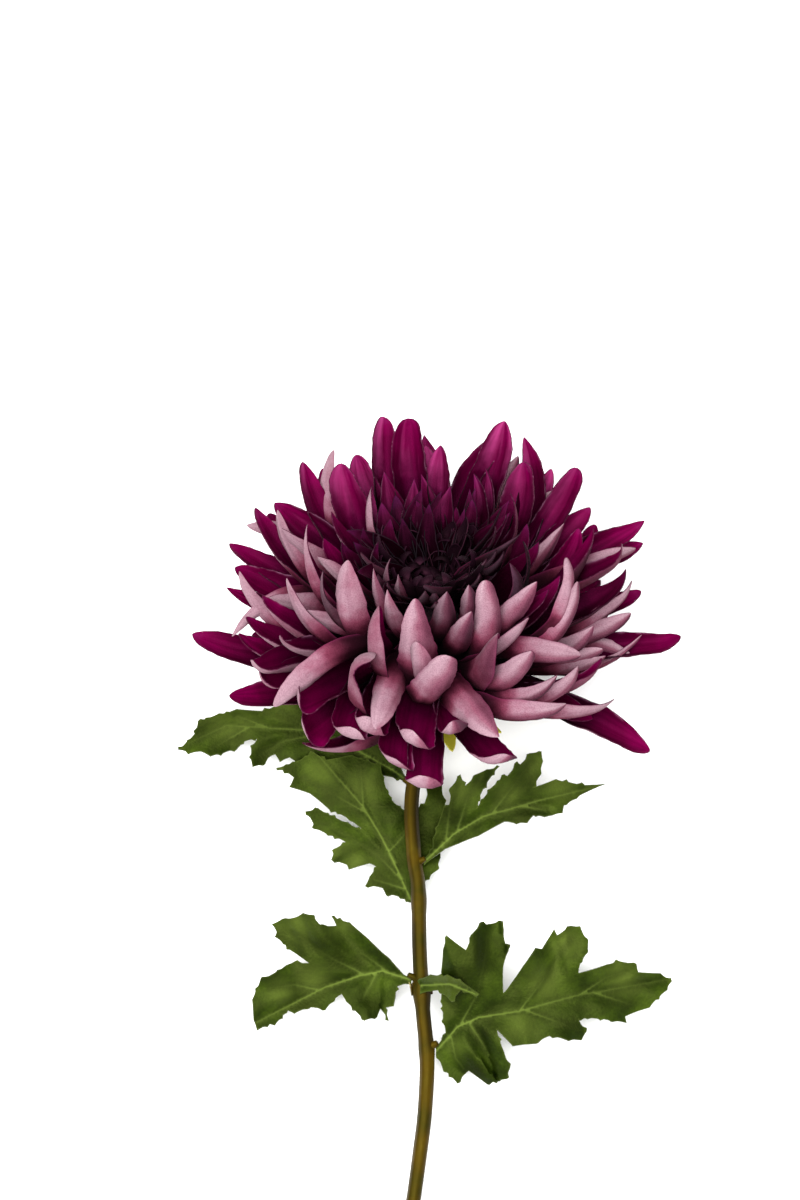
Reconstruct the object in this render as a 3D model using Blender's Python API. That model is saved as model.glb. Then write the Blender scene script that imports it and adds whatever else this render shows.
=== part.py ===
# A cut chrysanthemum, laid down on a table: a bloom of layered petals with a dark heart,
# a calyx, a stem and six lobed leaves. Metres, +Z up; the stem runs towards -Y.
# The origin is the middle of the bounding box's underside.

import math
import random

import bmesh
import bpy
from mathutils import Quaternion, Vector

MM = 0.001
SEED = 11

# The flower is laid out in a plane that leans back over the table, in mm from the bloom's middle:
# x to the right, y up the plane, z out of it.
PLANE_RISE = math.radians(75)
PLANE_RIGHT = Vector((1, 0, 0))
PLANE_UP = Vector((0, math.sin(PLANE_RISE), math.cos(PLANE_RISE)))
PLANE_OUT = Vector((0, -math.cos(PLANE_RISE), math.sin(PLANE_RISE)))
BLOOM_HEIGHT = 40.0

# The bloom faces out of that plane by this much. Lean is measured from its axis, turn round it.
BLOOM_TILT = math.radians(39)
BLOOM_YAW = -0.05
NODE_GAP = 0.3
TABLE_EASE = 1.6

# Core that the petals stand on, cut flat below for the calyx and above for the heart.
CORE_RADIUS = 11.0
CORE_UNDER = -8.0
CORE_TOP = 9.0
ROOT_RADIUS = 6.0

CORE_SIDES = 14
CORE_RINGS = 6

# One petal. Its width grows from the root until GROWN, is full at WIDEST and closes at the tip.
BLADE = 1.0
ROOT_SHARE = 0.34
GROWN = 0.62
WIDEST = 0.72
PETAL_CUP = 0.36
CUP_EASE = 1.5
STATIONS = (0.0, 0.34, 0.62, 0.82, 0.94, 1.0)
SHORT_STATIONS = (0.0, 0.5, 0.84, 1.0)

# The middle line of a petal: where its bend and the curl of its tip begin,
# and how much of its roll it has at the root.
SPINE_STEPS = 50
BEND_START = 0.15
BEND_SPAN = 0.75
CURL_START = 0.8
ROOT_ROLL = 0.8

# Layers of petals from the outside in:
# count, lean and reach of the tips, bend inwards, width, curl of the tip.
LAYERS = (
    (15, 97, 57, -14, 10.8, 46),
    (16, 88, 62, -8, 10.8, 40),
    (16, 79, 65, 0, 10.8, 44),
    (16, 70, 66, 8, 10.8, 40),
    (15, 61, 66, 18, 10.5, 30),
    (14, 52, 63, 30, 9.5, 24),
    (14, 43, 57, 46, 8.5, 16),
    (13, 36, 50, 58, 7.5, 10),
)
GOLDEN_TURN = 137.5
FRONT_BEND = 0.5
TURN_JITTER = 0.24
LEAN_JITTER = 3.0
REACH_JITTER = 0.06
ROLL_JITTER = 16
SWEEP_JITTER = 14
CURL_RANGE = (0.4, 1.4)
CLEARANCE = 8.0

# Places where the layers leave the bloom open: x, y, z in the plane and the angle kept bare.
BARE_PLACES = ((8, 58, 0, 9), (40, -38, 20, 15), (-58, -26, 16, 10))

# Petals that stand out of the rule: tip x, y, z in the plane, width, bend, roll, curl.
SINGLE_PETALS = (
    (-15.3, 68.8, -8, 6.5, 6, 20, 20),
    (-10.7, 67.8, 2, 10.5, 4, -10, 16),
    (-2.5, 59.5, 8, 9.0, 14, 0, 30),
    (-25.8, 54.5, 4, 11.0, 6, 8, 24),
    (-31.3, 58.3, -12, 5.5, 8, 150, 0),
    (-42.0, 54.6, -6, 9.0, 4, 12, 20),
    (-47.9, 43.0, -2, 8.5, 6, 0, 20),
    (24.0, 66.0, -2, 11.5, 6, 14, 18),
    (30.7, 54.3, 8, 8.0, 10, -30, 10),
    (45.1, 52.2, -6, 8.0, 2, -12, 10),
    (47.0, 41.1, 2, 8.5, 8, -10, 24),
    (-56.5, 39.9, -5, 10.0, 4, 18, 60),
    (-62.9, 30.1, -4, 8.0, 0, 10, 30),
    (-62.3, 20.3, 4, 8.5, 4, 6, 40),
    (-74.9, 0.3, 2, 9.5, -14, 10, 10),
    (-52.8, 12.9, 20, 9.0, 24, 20, 60),
    (-61.1, 1.2, 12, 8.5, 10, 14, 50),
    (-62.6, -15.3, 12, 9.5, 2, 6, 16),
    (-48.8, -18.1, 37, 9.5, 20, 120, 0),
    (-40.8, -30.4, 26, 9.0, 4, 90, 0),
    (-21.0, -28.5, 37, 9.0, 8, 0, 90),
    (-16.9, -26.4, 51, 8.5, -10, 170, 0),
    (-4.9, -44.2, 38, 11.5, -8, 0, 60),
    (-14.1, -37.1, 37, 9.5, 0, 6, 70),
    (5.8, -27.0, 43, 9.5, 4, 0, 80),
    (19.3, -36.5, 34, 10.5, 0, -14, 80),
    (18.1, -28.2, 51, 9.0, -10, 190, 0),
    (38.7, -18.7, 42, 8.5, -6, -130, 0),
    (54.0, -17.5, 20, 9.0, 2, -20, 60),
    (65.4, -32.2, 18, 7.0, -14, -10, 10),
    (74.9, 0.3, 5, 7.0, -6, -10, 0),
    (63.5, 37.5, -4, 9.5, 2, -8, 14),
    (61.6, 29.0, 10, 9.0, 6, -70, 0),
    (62.9, 14.7, 2, 7.0, 4, -10, 20),
    (58.6, -5.5, 20, 8.5, 12, -80, 0),
    (-26.7, 23.3, 44, 10.0, 92, 0, 0),
    (-7.1, 12.6, 50, 12.0, 104, 0, 10),
    (-18.4, 9.5, 49, 9.0, 100, 0, 10),
    (-2.0, -3.5, 55, 9.0, 96, 20, 30),
    (16.6, 18.1, 43, 8.0, 100, 0, 6),
    (-15.7, 15.3, 44, 6.0, 90, 0, 0),
    (3.1, 14.1, 42, 7.0, 90, 0, 0),
    (10.4, 17.5, 41, 6.5, 90, 0, 0),
    (39.6, 25.2, 34, 6.0, 60, -60, 0),
    (42.7, 16.6, 36, 7.0, 62, -50, 0),
    (28.9, -3.1, 48, 9.5, 70, -60, 10),
    (26.7, 6.8, 46, 8.0, 84, -10, 10),
    (37.1, -12.0, 44, 9.0, 40, -80, 0),
    (43.6, -8.3, 38, 8.0, 30, -80, 0),
    (-24.3, -3.1, 50, 8.5, 70, 0, 60),
    (14.1, 1.5, 50, 8.5, 100, 0, 20),
    (-39.9, 35.3, 24, 7.0, 50, 60, 0),
    (-46.4, 18.7, 28, 6.5, 44, 70, 0),
)

# Petals under the back of the bloom that lie on the table and carry it:
# turn, lean, reach, width, bend.
FOOT_PETALS = ((46, 111, 66, 10.5, -16), (134, 111, 66, 10.5, -16))

# Heart: a small dark core and its florets, inside the innermost layer.
HEART_UNDER = CORE_TOP + 2 * NODE_GAP
HEART_RADIUS = 6.2
HEART_MIDDLE = 13.8
HEART_TOP = 19.0
HEART_SIDES = 12
HEART_RINGS = 5
FLORET_ROOT = 1.5
FLORET_CUP = 0.5
FLORET_TURN_JITTER = 6
FLORET_HEIGHT_RANGE = (0.94, 1.04)
# Tiers of florets: count, distance of the tips from the axis, their height, bend inwards, width.
HEART_TIERS = (
    (13, 20.0, 36.0, 6, 6.4),
    (11, 14.0, 32.0, 16, 5.8),
    (6, 8.0, 28.5, 40, 4.8),
    (3, 3.0, 26.0, 50, 4.4),
)

# Calyx: a cup under the core with sepals that spread back.
CALYX_TOP = CORE_UNDER - NODE_GAP
CALYX_UNDER = -14.0
CALYX_TOP_RADIUS = 9.0
CALYX_UNDER_RADIUS = 3.6
CALYX_RIM = 1.5
CALYX_FLARE = 1.2
SEPALS = 12
SEPAL_START = -82
SEPAL_LEAN = 114
SEPAL_REACH = 27.0
SEPAL_WIDTH = 5.4
SEPAL_MIDDLE = -11.0
SEPAL_BEND = 10
SEPAL_CUP = 0.2
SEPAL_ROOT = 3.0

# Stem: middle line in the plane with the height of its middle over the table.
STEM_RADIUS = 2.3
STEM_SPREAD = 9.0
# Swellings of the stem: how far below the bloom's middle, their half length and their rise.
STEM_SWELLINGS = ((-80.0, 5.0, 0.25), (-107.5, 6.0, 0.6), (-125.0, 4.0, 0.2))
STEM_SIDES = 12
STEM_TOP = CALYX_UNDER - NODE_GAP
STEM_NECK = 8.0
STEM_PATH = (
    (-6.9, -44.5, 17.6),
    (-6.9, -65.0, 16.0),
    (-5.4, -76.5, 15.1),
    (-5.1, -94.5, 13.6),
    (-4.0, -113.0, 12.0),
    (-2.8, -128.0, 10.7),
    (-3.4, -143.0, 9.4),
    (-4.8, -155.0, 8.4),
    (-7.2, -171.6, 7.0),
    (-11.0, -192.0, 5.2),
    (-13.5, -215.0, 3.2),
    (-14.5, -236.0, 2.45),
)

# Leaves: thickness out of the plane, and how far apart the cuts lie that let the blade bend.
# Away from the midrib the blade drops off with the square of the distance, and it waves along it:
# fully at WAVE_WIDTH from the midrib, a little more past it.
LEAF_BLADE = 0.8
LEAF_CUTS = 11.0
LEAF_DROP = 0.003
WAVE_LENGTH = 17.0
WAVE_WIDTH = 14.0
WAVE_MOST = 1.2

# Each leaf: its midrib as x, y, z in the plane, its outline as x, y from the stem round and back,
# the rise of its halves from the midrib, and the depth of its waves.
LEAVES = {
    "leaf_1": {
        "rib": (
            (-9.3, -43.0, -12.4), (-13.0, -40.5, -18.4), (-26.5, -33.0, -21.0),
            (-41.0, -28.0, -22.0), (-65.0, -26.5, -21.5), (-78.0, -32.5, -19.0),
        ),
        "outline": (
            (-9.25, -42.4), (-12.0, -37.5), (-17.0, -32.0), (-26.5, -25.0), (-35.5, -19.5),
            (-43.0, -18.0), (-49.5, -20.0), (-54.0, -22.0), (-62.0, -21.5), (-68.0, -23.0),
            (-74.0, -25.0), (-75.0, -29.0), (-77.5, -31.5), (-80.0, -34.0), (-76.0, -35.0),
            (-73.0, -34.5), (-70.0, -36.0), (-66.0, -35.0), (-62.0, -34.0), (-59.5, -31.5),
            (-55.5, -30.5), (-57.5, -33.5), (-57.5, -37.0), (-57.0, -39.5), (-53.0, -38.5),
            (-52.0, -36.5), (-50.0, -35.5), (-48.5, -38.0), (-45.5, -36.5), (-42.0, -39.0),
            (-35.0, -40.0), (-28.0, -39.0), (-22.5, -41.5), (-15.5, -42.0), (-9.3, -43.6),
        ),
        "fold": 0.08,
        "wave": 1.0,
    },
    "leaf_2": {
        "rib": (
            (-6.5, -81.0, -7.3), (-8.0, -79.5, -8.8), (-12.5, -69.5, -11.5),
            (-17.0, -60.5, -13.2), (-22.5, -51.5, -14.0), (-36.5, -35.5, -15.5),
        ),
        "outline": (
            (-6.0, -82.0), (-11.5, -79.0), (-15.5, -78.5), (-16.5, -76.5), (-22.0, -76.0),
            (-20.5, -73.0), (-18.5, -70.0), (-20.5, -69.0), (-27.0, -71.0), (-27.5, -69.5),
            (-32.5, -68.0), (-31.5, -64.5), (-28.0, -62.5), (-34.0, -60.0), (-38.5, -58.0),
            (-38.0, -57.0), (-40.5, -53.0), (-36.5, -52.0), (-31.0, -55.0), (-26.5, -57.0),
            (-23.0, -58.5), (-27.5, -55.0), (-33.0, -52.5), (-39.0, -47.5), (-45.5, -45.5),
            (-44.0, -42.5), (-49.5, -39.5), (-43.5, -37.5), (-38.0, -34.5), (-34.0, -37.0),
            (-26.0, -35.5), (-20.5, -37.5), (-17.0, -38.5), (-16.0, -43.5), (-13.5, -49.5),
            (-10.5, -52.0), (-7.5, -53.5), (-3.5, -50.5), (-2.0, -45.0), (-0.5, -41.5),
            (2.0, -45.0), (3.0, -50.5), (1.5, -59.5), (1.5, -67.0), (0.5, -71.0), (-3.0, -74.0),
        ),
        "fold": -0.05,
        "wave": 0.6,
    },
    "leaf_3": {
        "rib": (
            (-3.7, -68.3, -6.5), (5.5, -59.5, -4.5), (14.5, -54.0, -3.0),
            (23.5, -51.5, -2.5), (32.0, -49.0, -3.0), (52.0, -44.5, -7.0),
        ),
        "outline": (
            (-3.7, -69.2), (-3.7, -67.2), (-1.0, -64.0), (-1.0, -61.0), (0.5, -57.0),
            (2.5, -50.5), (4.0, -50.5), (4.5, -45.0), (7.5, -41.0), (9.0, -44.5), (12.5, -41.0),
            (15.5, -39.5), (19.5, -38.5), (17.0, -41.5), (14.5, -45.5), (12.5, -51.5),
            (14.5, -48.5), (16.5, -45.5), (21.0, -41.0), (22.0, -41.5), (25.0, -37.0),
            (26.0, -38.0), (29.0, -34.5), (32.5, -34.0), (33.0, -37.0), (32.0, -41.5),
            (30.0, -45.0), (37.0, -42.5), (41.0, -43.5), (46.0, -44.5), (53.0, -44.0),
            (44.5, -47.5), (43.5, -48.5), (39.5, -50.5), (39.0, -53.0), (36.0, -53.5),
            (33.5, -54.0), (30.0, -53.5), (28.0, -56.0), (24.0, -56.0), (21.0, -55.5),
            (13.0, -60.0), (3.0, -64.0),
        ),
        "fold": 0.14,
        "wave": 1.2,
    },
    "leaf_4": {
        "rib": (
            (-7.6, -104.0, -0.3), (-16.5, -101.5, -2.5), (-23.5, -103.0, -3.0),
            (-34.0, -106.5, -3.0), (-45.0, -112.0, -2.0), (-55.0, -117.0, 0.0),
        ),
        "outline": (
            (-7.5, -104.8), (-7.5, -103.2), (-10.0, -102.5), (-14.5, -97.5), (-21.0, -91.5),
            (-26.5, -86.5), (-32.0, -84.5), (-30.5, -87.5), (-35.5, -87.0), (-38.0, -84.0),
            (-41.0, -83.5), (-42.5, -84.5), (-47.5, -85.5), (-50.5, -87.0), (-49.0, -89.5),
            (-49.5, -91.0), (-45.0, -95.0), (-39.0, -99.0), (-43.5, -98.5), (-46.0, -99.5),
            (-49.0, -101.5), (-54.0, -104.0), (-55.5, -107.5), (-56.5, -110.0), (-56.0, -116.5),
            (-55.0, -119.5), (-51.0, -117.5), (-49.5, -118.0), (-45.5, -113.5), (-43.5, -114.5),
            (-38.5, -112.5), (-34.0, -113.5), (-31.0, -110.0), (-29.0, -108.5), (-27.5, -111.0),
            (-25.0, -113.5), (-22.0, -116.5), (-18.0, -115.5), (-17.0, -113.0), (-14.5, -116.5),
            (-15.5, -112.5), (-13.0, -112.0), (-12.5, -109.5), (-12.0, -106.0),
        ),
        "fold": 0.14,
        "wave": 1.4,
    },
    "leaf_5": {
        "rib": (
            (0.0, -125.6, 3.4), (6.5, -118.0, 5.0), (13.0, -115.0, 6.0),
            (25.5, -113.0, 6.5), (42.5, -108.5, 5.0), (71.0, -104.0, -1.0),
        ),
        "outline": (
            (-0.1, -126.6), (-0.1, -124.4), (3.0, -120.0), (2.0, -115.5), (1.5, -109.5),
            (1.5, -101.0), (2.0, -94.0), (3.0, -89.5), (9.0, -94.0), (10.5, -89.5),
            (14.5, -85.5), (15.5, -86.5), (20.0, -85.5), (21.0, -92.5), (22.5, -92.5),
            (20.5, -99.5), (20.5, -107.5), (22.5, -105.0), (26.5, -99.0), (30.5, -93.5),
            (32.5, -94.0), (36.0, -88.0), (37.0, -90.0), (41.0, -87.0), (44.0, -87.0),
            (46.5, -92.0), (46.5, -95.0), (44.0, -98.5), (43.5, -101.5), (52.5, -99.0),
            (56.0, -98.0), (61.5, -99.0), (62.0, -101.5), (69.0, -102.0), (72.5, -104.5),
            (70.5, -107.5), (67.5, -110.0), (65.5, -112.5), (58.0, -115.0), (58.5, -117.0),
            (53.0, -116.0), (49.5, -115.5), (43.5, -115.5), (46.0, -119.5), (44.5, -122.0),
            (39.5, -121.5), (34.5, -120.5), (30.5, -123.0), (23.5, -123.5), (18.5, -118.5),
            (19.5, -122.0), (20.5, -125.0), (22.5, -130.0), (21.5, -133.5), (15.5, -135.5),
            (10.0, -131.5), (6.5, -135.5), (2.0, -131.0),
        ),
        "fold": 0.12,
        "wave": 1.6,
    },
    "leaf_6": {
        "rib": ((-4.5, -105.5, 2.6), (4.0, -104.5, 9.2), (13.0, -107.5, 15.2)),
        "outline": (
            (-5.0, -108.0), (-5.0, -103.5), (-2.0, -102.0), (4.0, -102.0), (7.5, -103.5),
            (13.0, -107.0), (12.0, -108.0), (7.5, -106.0), (4.5, -109.5), (0.5, -106.5),
            (-2.0, -107.0),
        ),
        "fold": 0.5,
        "wave": 0.0,
    },
}


def plane_point(x, y, z):
    """A point from the plane's own mm, as a world vector in mm."""
    middle = Vector((0, 0, BLOOM_HEIGHT))
    return middle + PLANE_RIGHT * x + PLANE_UP * y + PLANE_OUT * z


def plane_depth(y, height):
    """How far out of the plane a point lies that is seen at y and stands at a height over the table."""
    return (height - BLOOM_HEIGHT - y * PLANE_UP.z) / PLANE_OUT.z


BLOOM_MIDDLE = plane_point(0, 0, 0)
BLOOM_AXIS = (
    PLANE_RIGHT * BLOOM_YAW
    + PLANE_UP * math.cos(BLOOM_TILT)
    + PLANE_OUT * math.sin(BLOOM_TILT)
).normalized()
BLOOM_SIDE = (PLANE_RIGHT - BLOOM_AXIS * PLANE_RIGHT.dot(BLOOM_AXIS)).normalized()
BLOOM_BACK = BLOOM_AXIS.cross(BLOOM_SIDE)


def outward(turn):
    return BLOOM_SIDE * math.cos(turn) + BLOOM_BACK * math.sin(turn)


def bloom_direction(lean, turn):
    lean, turn = math.radians(lean), math.radians(turn)
    return BLOOM_AXIS * math.cos(lean) + outward(turn) * math.sin(lean)


def on_axis(height):
    return BLOOM_MIDDLE + BLOOM_AXIS * height


def smooth(value):
    value = min(max(value, 0.0), 1.0)
    return value * value * (3 - 2 * value)


def petal(tip, width, bend=0, roll=0, curl=0, sweep=0, cup=PETAL_CUP, root=ROOT_RADIUS, base=None):
    """What describes one petal: its tip in world mm, its width and its angles in degrees."""
    return {
        "tip": tip,
        "base": base or BLOOM_MIDDLE,
        "root": root,
        "width": width,
        "bend": math.radians(bend),
        "roll": math.radians(roll),
        "curl": math.radians(curl),
        "sweep": math.radians(sweep),
        "cup": cup,
    }


def petal_spine(shape):
    """Middle line of a petal from root to tip, with the direction along it and that of its inner face."""
    chord = shape["tip"] - shape["base"]
    rise = chord.dot(BLOOM_AXIS)
    spread = chord - BLOOM_AXIS * rise
    away = spread.normalized()
    aside = BLOOM_AXIS.cross(away)
    lean = math.atan2(spread.length, rise)
    half = shape["bend"] / 2
    straight = math.sin(half) / half if abs(half) > 0.001 else 1.0
    length = (chord.length - shape["root"]) / straight
    point = shape["base"] + chord.normalized() * shape["root"]
    spine = []
    for step in range(SPINE_STEPS + 1):
        along = step / SPINE_STEPS
        curl = shape["curl"] * smooth((along - CURL_START) / (1 - CURL_START))
        angle = lean + shape["bend"] * (0.5 - smooth((along - BEND_START) / BEND_SPAN)) - curl
        aslant = shape["sweep"] * (along - 0.5)
        flat = BLOOM_AXIS * math.cos(angle) + away * math.sin(angle)
        ahead = flat * math.cos(aslant) + aside * math.sin(aslant)
        inner = BLOOM_AXIS * math.sin(angle) - away * math.cos(angle)
        turned = Quaternion(ahead, shape["roll"] * (ROOT_ROLL + (1 - ROOT_ROLL) * along))
        spine.append([point.copy(), ahead, turned @ inner])
        point = point + ahead * (length / SPINE_STEPS)
    miss = shape["tip"] - spine[-1][0]
    for step, row in enumerate(spine):
        row[0] += miss * (step / SPINE_STEPS) ** 2
    return spine


def petal_share(along):
    """Width at a place along a petal, as a share of its greatest."""
    swell = ROOT_SHARE + (1 - ROOT_SHARE) * smooth(along / GROWN)
    if along <= WIDEST:
        return swell
    return swell * math.sqrt(max(0.0, 1 - ((along - WIDEST) / (1 - WIDEST)) ** 2))


def off_table(points):
    """Lifts the points of one cross-section together until the lowest lies on the table."""
    low = min(point.z for point in points)
    lift = (low + math.hypot(low, TABLE_EASE)) / 2 - low
    return [point + Vector((0, 0, lift)) for point in points]


def petal_mesh(shape, blade, stations):
    """One closed blade: a channelled, pointed strip, thickest along its middle.

    Each section has its edges at the corners 0 and 2, the inner face's ridge at 1 and the reverse's
    at 3, so the faces from corner 2 on are the reverse.
    """
    spine = petal_spine(shape)
    mesh = bmesh.new()
    sections = []
    for along in stations[:-1]:
        middle, ahead, inner = spine[round(along * SPINE_STEPS)]
        across = ahead.cross(inner)
        reach = shape["width"] / 2 * petal_share(along)
        raised = middle + inner * reach * shape["cup"] * (CUP_EASE - along)
        section = [
            raised + across * reach,
            middle + inner * blade / 2,
            raised - across * reach,
            middle - inner * blade / 2,
        ]
        sections.append([mesh.verts.new(point) for point in off_table(section)])
    tip = mesh.verts.new(off_table([spine[-1][0]])[0])
    for near, far in zip(sections, sections[1:]):
        for corner in range(4):
            following = (corner + 1) % 4
            corners = (near[corner], near[following], far[following], far[corner])
            face = mesh.faces.new(corners)
            face.material_index = int(corner >= 2)
    for corner in range(4):
        following = (corner + 1) % 4
        face = mesh.faces.new((sections[-1][corner], sections[-1][following], tip))
        face.material_index = int(corner >= 2)
    mesh.faces.new(sections[0][::-1])
    bmesh.ops.triangulate(mesh, faces=mesh.faces)
    bmesh.ops.recalc_face_normals(mesh, faces=mesh.faces)
    return mesh


def new_object(name, mesh, materials, collection=None):
    """An object from a mesh in mm, placed in metres."""
    bmesh.ops.scale(mesh, vec=(MM, MM, MM), verts=mesh.verts)
    data = bpy.data.meshes.new(name)
    mesh.to_mesh(data)
    mesh.free()
    for material in materials:
        data.materials.append(material)
    made = bpy.data.objects.new(name, data)
    (collection or bpy.context.scene.collection).objects.link(made)
    return made


def new_collection(name):
    made = bpy.data.collections.new(name)
    bpy.context.scene.collection.children.link(made)
    return made


def largest_shell(mesh):
    """Leaves only the outer skin of a fused mesh: sealed hollows and loose scraps go."""
    mesh.faces.ensure_lookup_table()
    seen = set()
    shells = []
    for start in mesh.faces:
        if start.index in seen:
            continue
        seen.add(start.index)
        shell, waiting = [], [start]
        while waiting:
            face = waiting.pop()
            shell.append(face)
            for edge in face.edges:
                for other in edge.link_faces:
                    if other.index not in seen:
                        seen.add(other.index)
                        waiting.append(other)
        shells.append(shell)
    shells.sort(key=len)
    loose = [face for shell in shells[:-1] for face in shell]
    bmesh.ops.delete(mesh, geom=loose, context="FACES")


def fuse(base, pieces, solver="EXACT"):
    """Joins the collection's pieces to the base in one union, then removes them."""
    union = base.modifiers.new("Fused", "BOOLEAN")
    union.operation = "UNION"
    union.operand_type = "COLLECTION"
    union.collection = pieces
    union.solver = solver
    graph = bpy.context.evaluated_depsgraph_get()
    fused = bpy.data.meshes.new_from_object(base.evaluated_get(graph))
    base.modifiers.remove(union)
    mesh = bmesh.new()
    mesh.from_mesh(fused)
    bmesh.ops.triangulate(mesh, faces=mesh.faces)
    largest_shell(mesh)
    mesh.to_mesh(base.data)
    mesh.free()
    bpy.data.meshes.remove(fused)
    for piece in list(pieces.objects):
        bpy.data.objects.remove(piece)
    bpy.data.collections.remove(pieces)
    return base


def rod(centres, radii, sides):
    """A closed round bar through the centres, with a flat end at each."""
    mesh = bmesh.new()
    rings = []
    side = PLANE_RIGHT
    for index, centre in enumerate(centres):
        before = centres[max(index - 1, 0)]
        after = centres[min(index + 1, len(centres) - 1)]
        ahead = (after - before).normalized()
        side = (side - ahead * side.dot(ahead)).normalized()
        third = ahead.cross(side)
        ring = []
        for corner in range(sides):
            angle = math.tau * corner / sides
            spoke = side * math.cos(angle) + third * math.sin(angle)
            ring.append(mesh.verts.new(centre + spoke * radii[index]))
        rings.append(ring)
    for near, far in zip(rings, rings[1:]):
        for corner in range(sides):
            following = (corner + 1) % sides
            mesh.faces.new((near[corner], near[following], far[following], far[corner]))
    mesh.faces.new(rings[0][::-1])
    mesh.faces.new(rings[-1])
    bmesh.ops.recalc_face_normals(mesh, faces=mesh.faces)
    return mesh


def turned_core(heights_and_radii, sides):
    """A closed body of revolution round the bloom's axis."""
    centres = [on_axis(height) for height, _ in heights_and_radii]
    radii = [radius for _, radius in heights_and_radii]
    return rod(centres, radii, sides)


def ball_profile(middle, radius, under, top, rings):
    """Heights and radii of a ball between two flat cuts."""
    low = math.asin((under - middle) / radius)
    high = math.asin((top - middle) / radius)
    profile = []
    for ring in range(rings + 1):
        angle = low + (high - low) * ring / rings
        profile.append((middle + radius * math.sin(angle), radius * math.cos(angle)))
    return profile


def angle_between(one, other):
    return math.degrees(one.angle(other))


def single_petals():
    """The petals that stand out of the rule."""
    petals = []
    for x, y, z, width, bend, roll, curl in SINGLE_PETALS:
        petals.append(petal(plane_point(x, y, z), width, bend, roll, curl))
    for turn, lean, reach, width, bend in FOOT_PETALS:
        tip = BLOOM_MIDDLE + bloom_direction(lean, turn) * reach
        petals.append(petal(tip, width, bend))
    return petals


def layered_petals(taken):
    """The petals of the layers, without those whose place a single petal takes."""
    chance = random.Random(SEED)
    bare = [(plane_point(x, y, z) - BLOOM_MIDDLE, angle) for x, y, z, angle in BARE_PLACES]
    bare += [(other["tip"] - BLOOM_MIDDLE, CLEARANCE) for other in taken]
    petals = []
    for layer, (count, lean, reach, bend, width, curl) in enumerate(LAYERS):
        spacing = 360 / count
        for place in range(count):
            shifted = place + chance.uniform(-1, 1) * TURN_JITTER
            turn = shifted * spacing + layer * GOLDEN_TURN
            leaned = lean + chance.uniform(-1, 1) * LEAN_JITTER
            reached = reach * (1 + chance.uniform(-1, 1) * REACH_JITTER)
            roll = chance.uniform(-1, 1) * ROLL_JITTER
            sweep = chance.uniform(-1, 1) * SWEEP_JITTER
            curled = curl * chance.uniform(*CURL_RANGE)
            bent = bend * (1 - FRONT_BEND * math.sin(math.radians(turn)))
            direction = bloom_direction(leaned, turn)
            if all(angle_between(direction, other) > angle for other, angle in bare):
                tip = BLOOM_MIDDLE + direction * reached
                petals.append(petal(tip, width, bent, roll, curled, sweep))
    return petals


def build_bloom(face, reverse):
    taken = single_petals()
    petals = taken + layered_petals(taken)
    profile = ball_profile(0, CORE_RADIUS, CORE_UNDER, CORE_TOP, CORE_RINGS)
    core = new_object("bloom_petals", turned_core(profile, CORE_SIDES), (face, reverse))
    pieces = new_collection("petals")
    for number, shape in enumerate(petals):
        mesh = petal_mesh(shape, BLADE, STATIONS)
        new_object(f"petal_{number}", mesh, (face, reverse), pieces)
    return fuse(core, pieces, "MANIFOLD")


def build_heart(dark):
    profile = ball_profile(HEART_MIDDLE, HEART_RADIUS, HEART_UNDER, HEART_TOP, HEART_RINGS)
    core = new_object("bloom_heart", turned_core(profile, HEART_SIDES), (dark,))
    pieces = new_collection("florets")
    base = on_axis(HEART_MIDDLE)
    chance = random.Random(SEED + 1)
    for tier, (count, spread, height, bend, width) in enumerate(HEART_TIERS):
        for place in range(count):
            jitter = chance.uniform(-1, 1) * FLORET_TURN_JITTER
            turn = math.radians(360 * place / count + tier * GOLDEN_TURN + jitter)
            raised = height * chance.uniform(*FLORET_HEIGHT_RANGE)
            tip = on_axis(raised) + outward(turn) * spread
            shape = petal(tip, width, bend, cup=FLORET_CUP, root=FLORET_ROOT, base=base)
            mesh = petal_mesh(shape, BLADE, SHORT_STATIONS)
            new_object(f"floret_{tier}_{place}", mesh, (dark,), pieces)
    return fuse(core, pieces)


def build_calyx(green):
    profile = (
        (CALYX_TOP, CALYX_TOP_RADIUS),
        (CALYX_TOP - CALYX_RIM, CALYX_TOP_RADIUS),
        (CALYX_UNDER + CALYX_FLARE, CALYX_UNDER_RADIUS + CALYX_FLARE),
        (CALYX_UNDER, CALYX_UNDER_RADIUS),
    )
    cup = new_object("calyx", turned_core(profile, CORE_SIDES), (green,))
    pieces = new_collection("sepals")
    base = on_axis(SEPAL_MIDDLE)
    for place in range(SEPALS):
        turn = SEPAL_START + 360 * place / SEPALS
        tip = base + bloom_direction(SEPAL_LEAN, turn) * SEPAL_REACH
        shape = petal(tip, SEPAL_WIDTH, SEPAL_BEND, cup=SEPAL_CUP, root=SEPAL_ROOT, base=base)
        mesh = petal_mesh(shape, BLADE, SHORT_STATIONS)
        new_object(f"sepal_{place}", mesh, (green,), pieces)
    return fuse(cup, pieces)


def spline(points, spread):
    """Points on a smooth curve through the given ones, about as far apart as spread."""
    path = []
    last = len(points) - 1
    for index in range(last):
        before, start = points[max(index - 1, 0)], points[index]
        end, after = points[index + 1], points[min(index + 2, last)]
        steps = max(1, round((end - start).length / spread))
        for step in range(steps):
            part = step / steps
            path.append(
                0.5 * (
                    2 * start
                    + (end - before) * part
                    + (2 * before - 5 * start + 4 * end - after) * part ** 2
                    + (3 * start - before - 3 * end + after) * part ** 3
                )
            )
    path.append(points[-1])
    return path


def stem_line():
    """The stem's middle line: out of the calyx along the bloom's axis, then down the path."""
    start = on_axis(STEM_TOP)
    points = [start, start - BLOOM_AXIS * STEM_NECK]
    for x, y, height in STEM_PATH:
        points.append(plane_point(x, y, plane_depth(y, height)))
    return points


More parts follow.
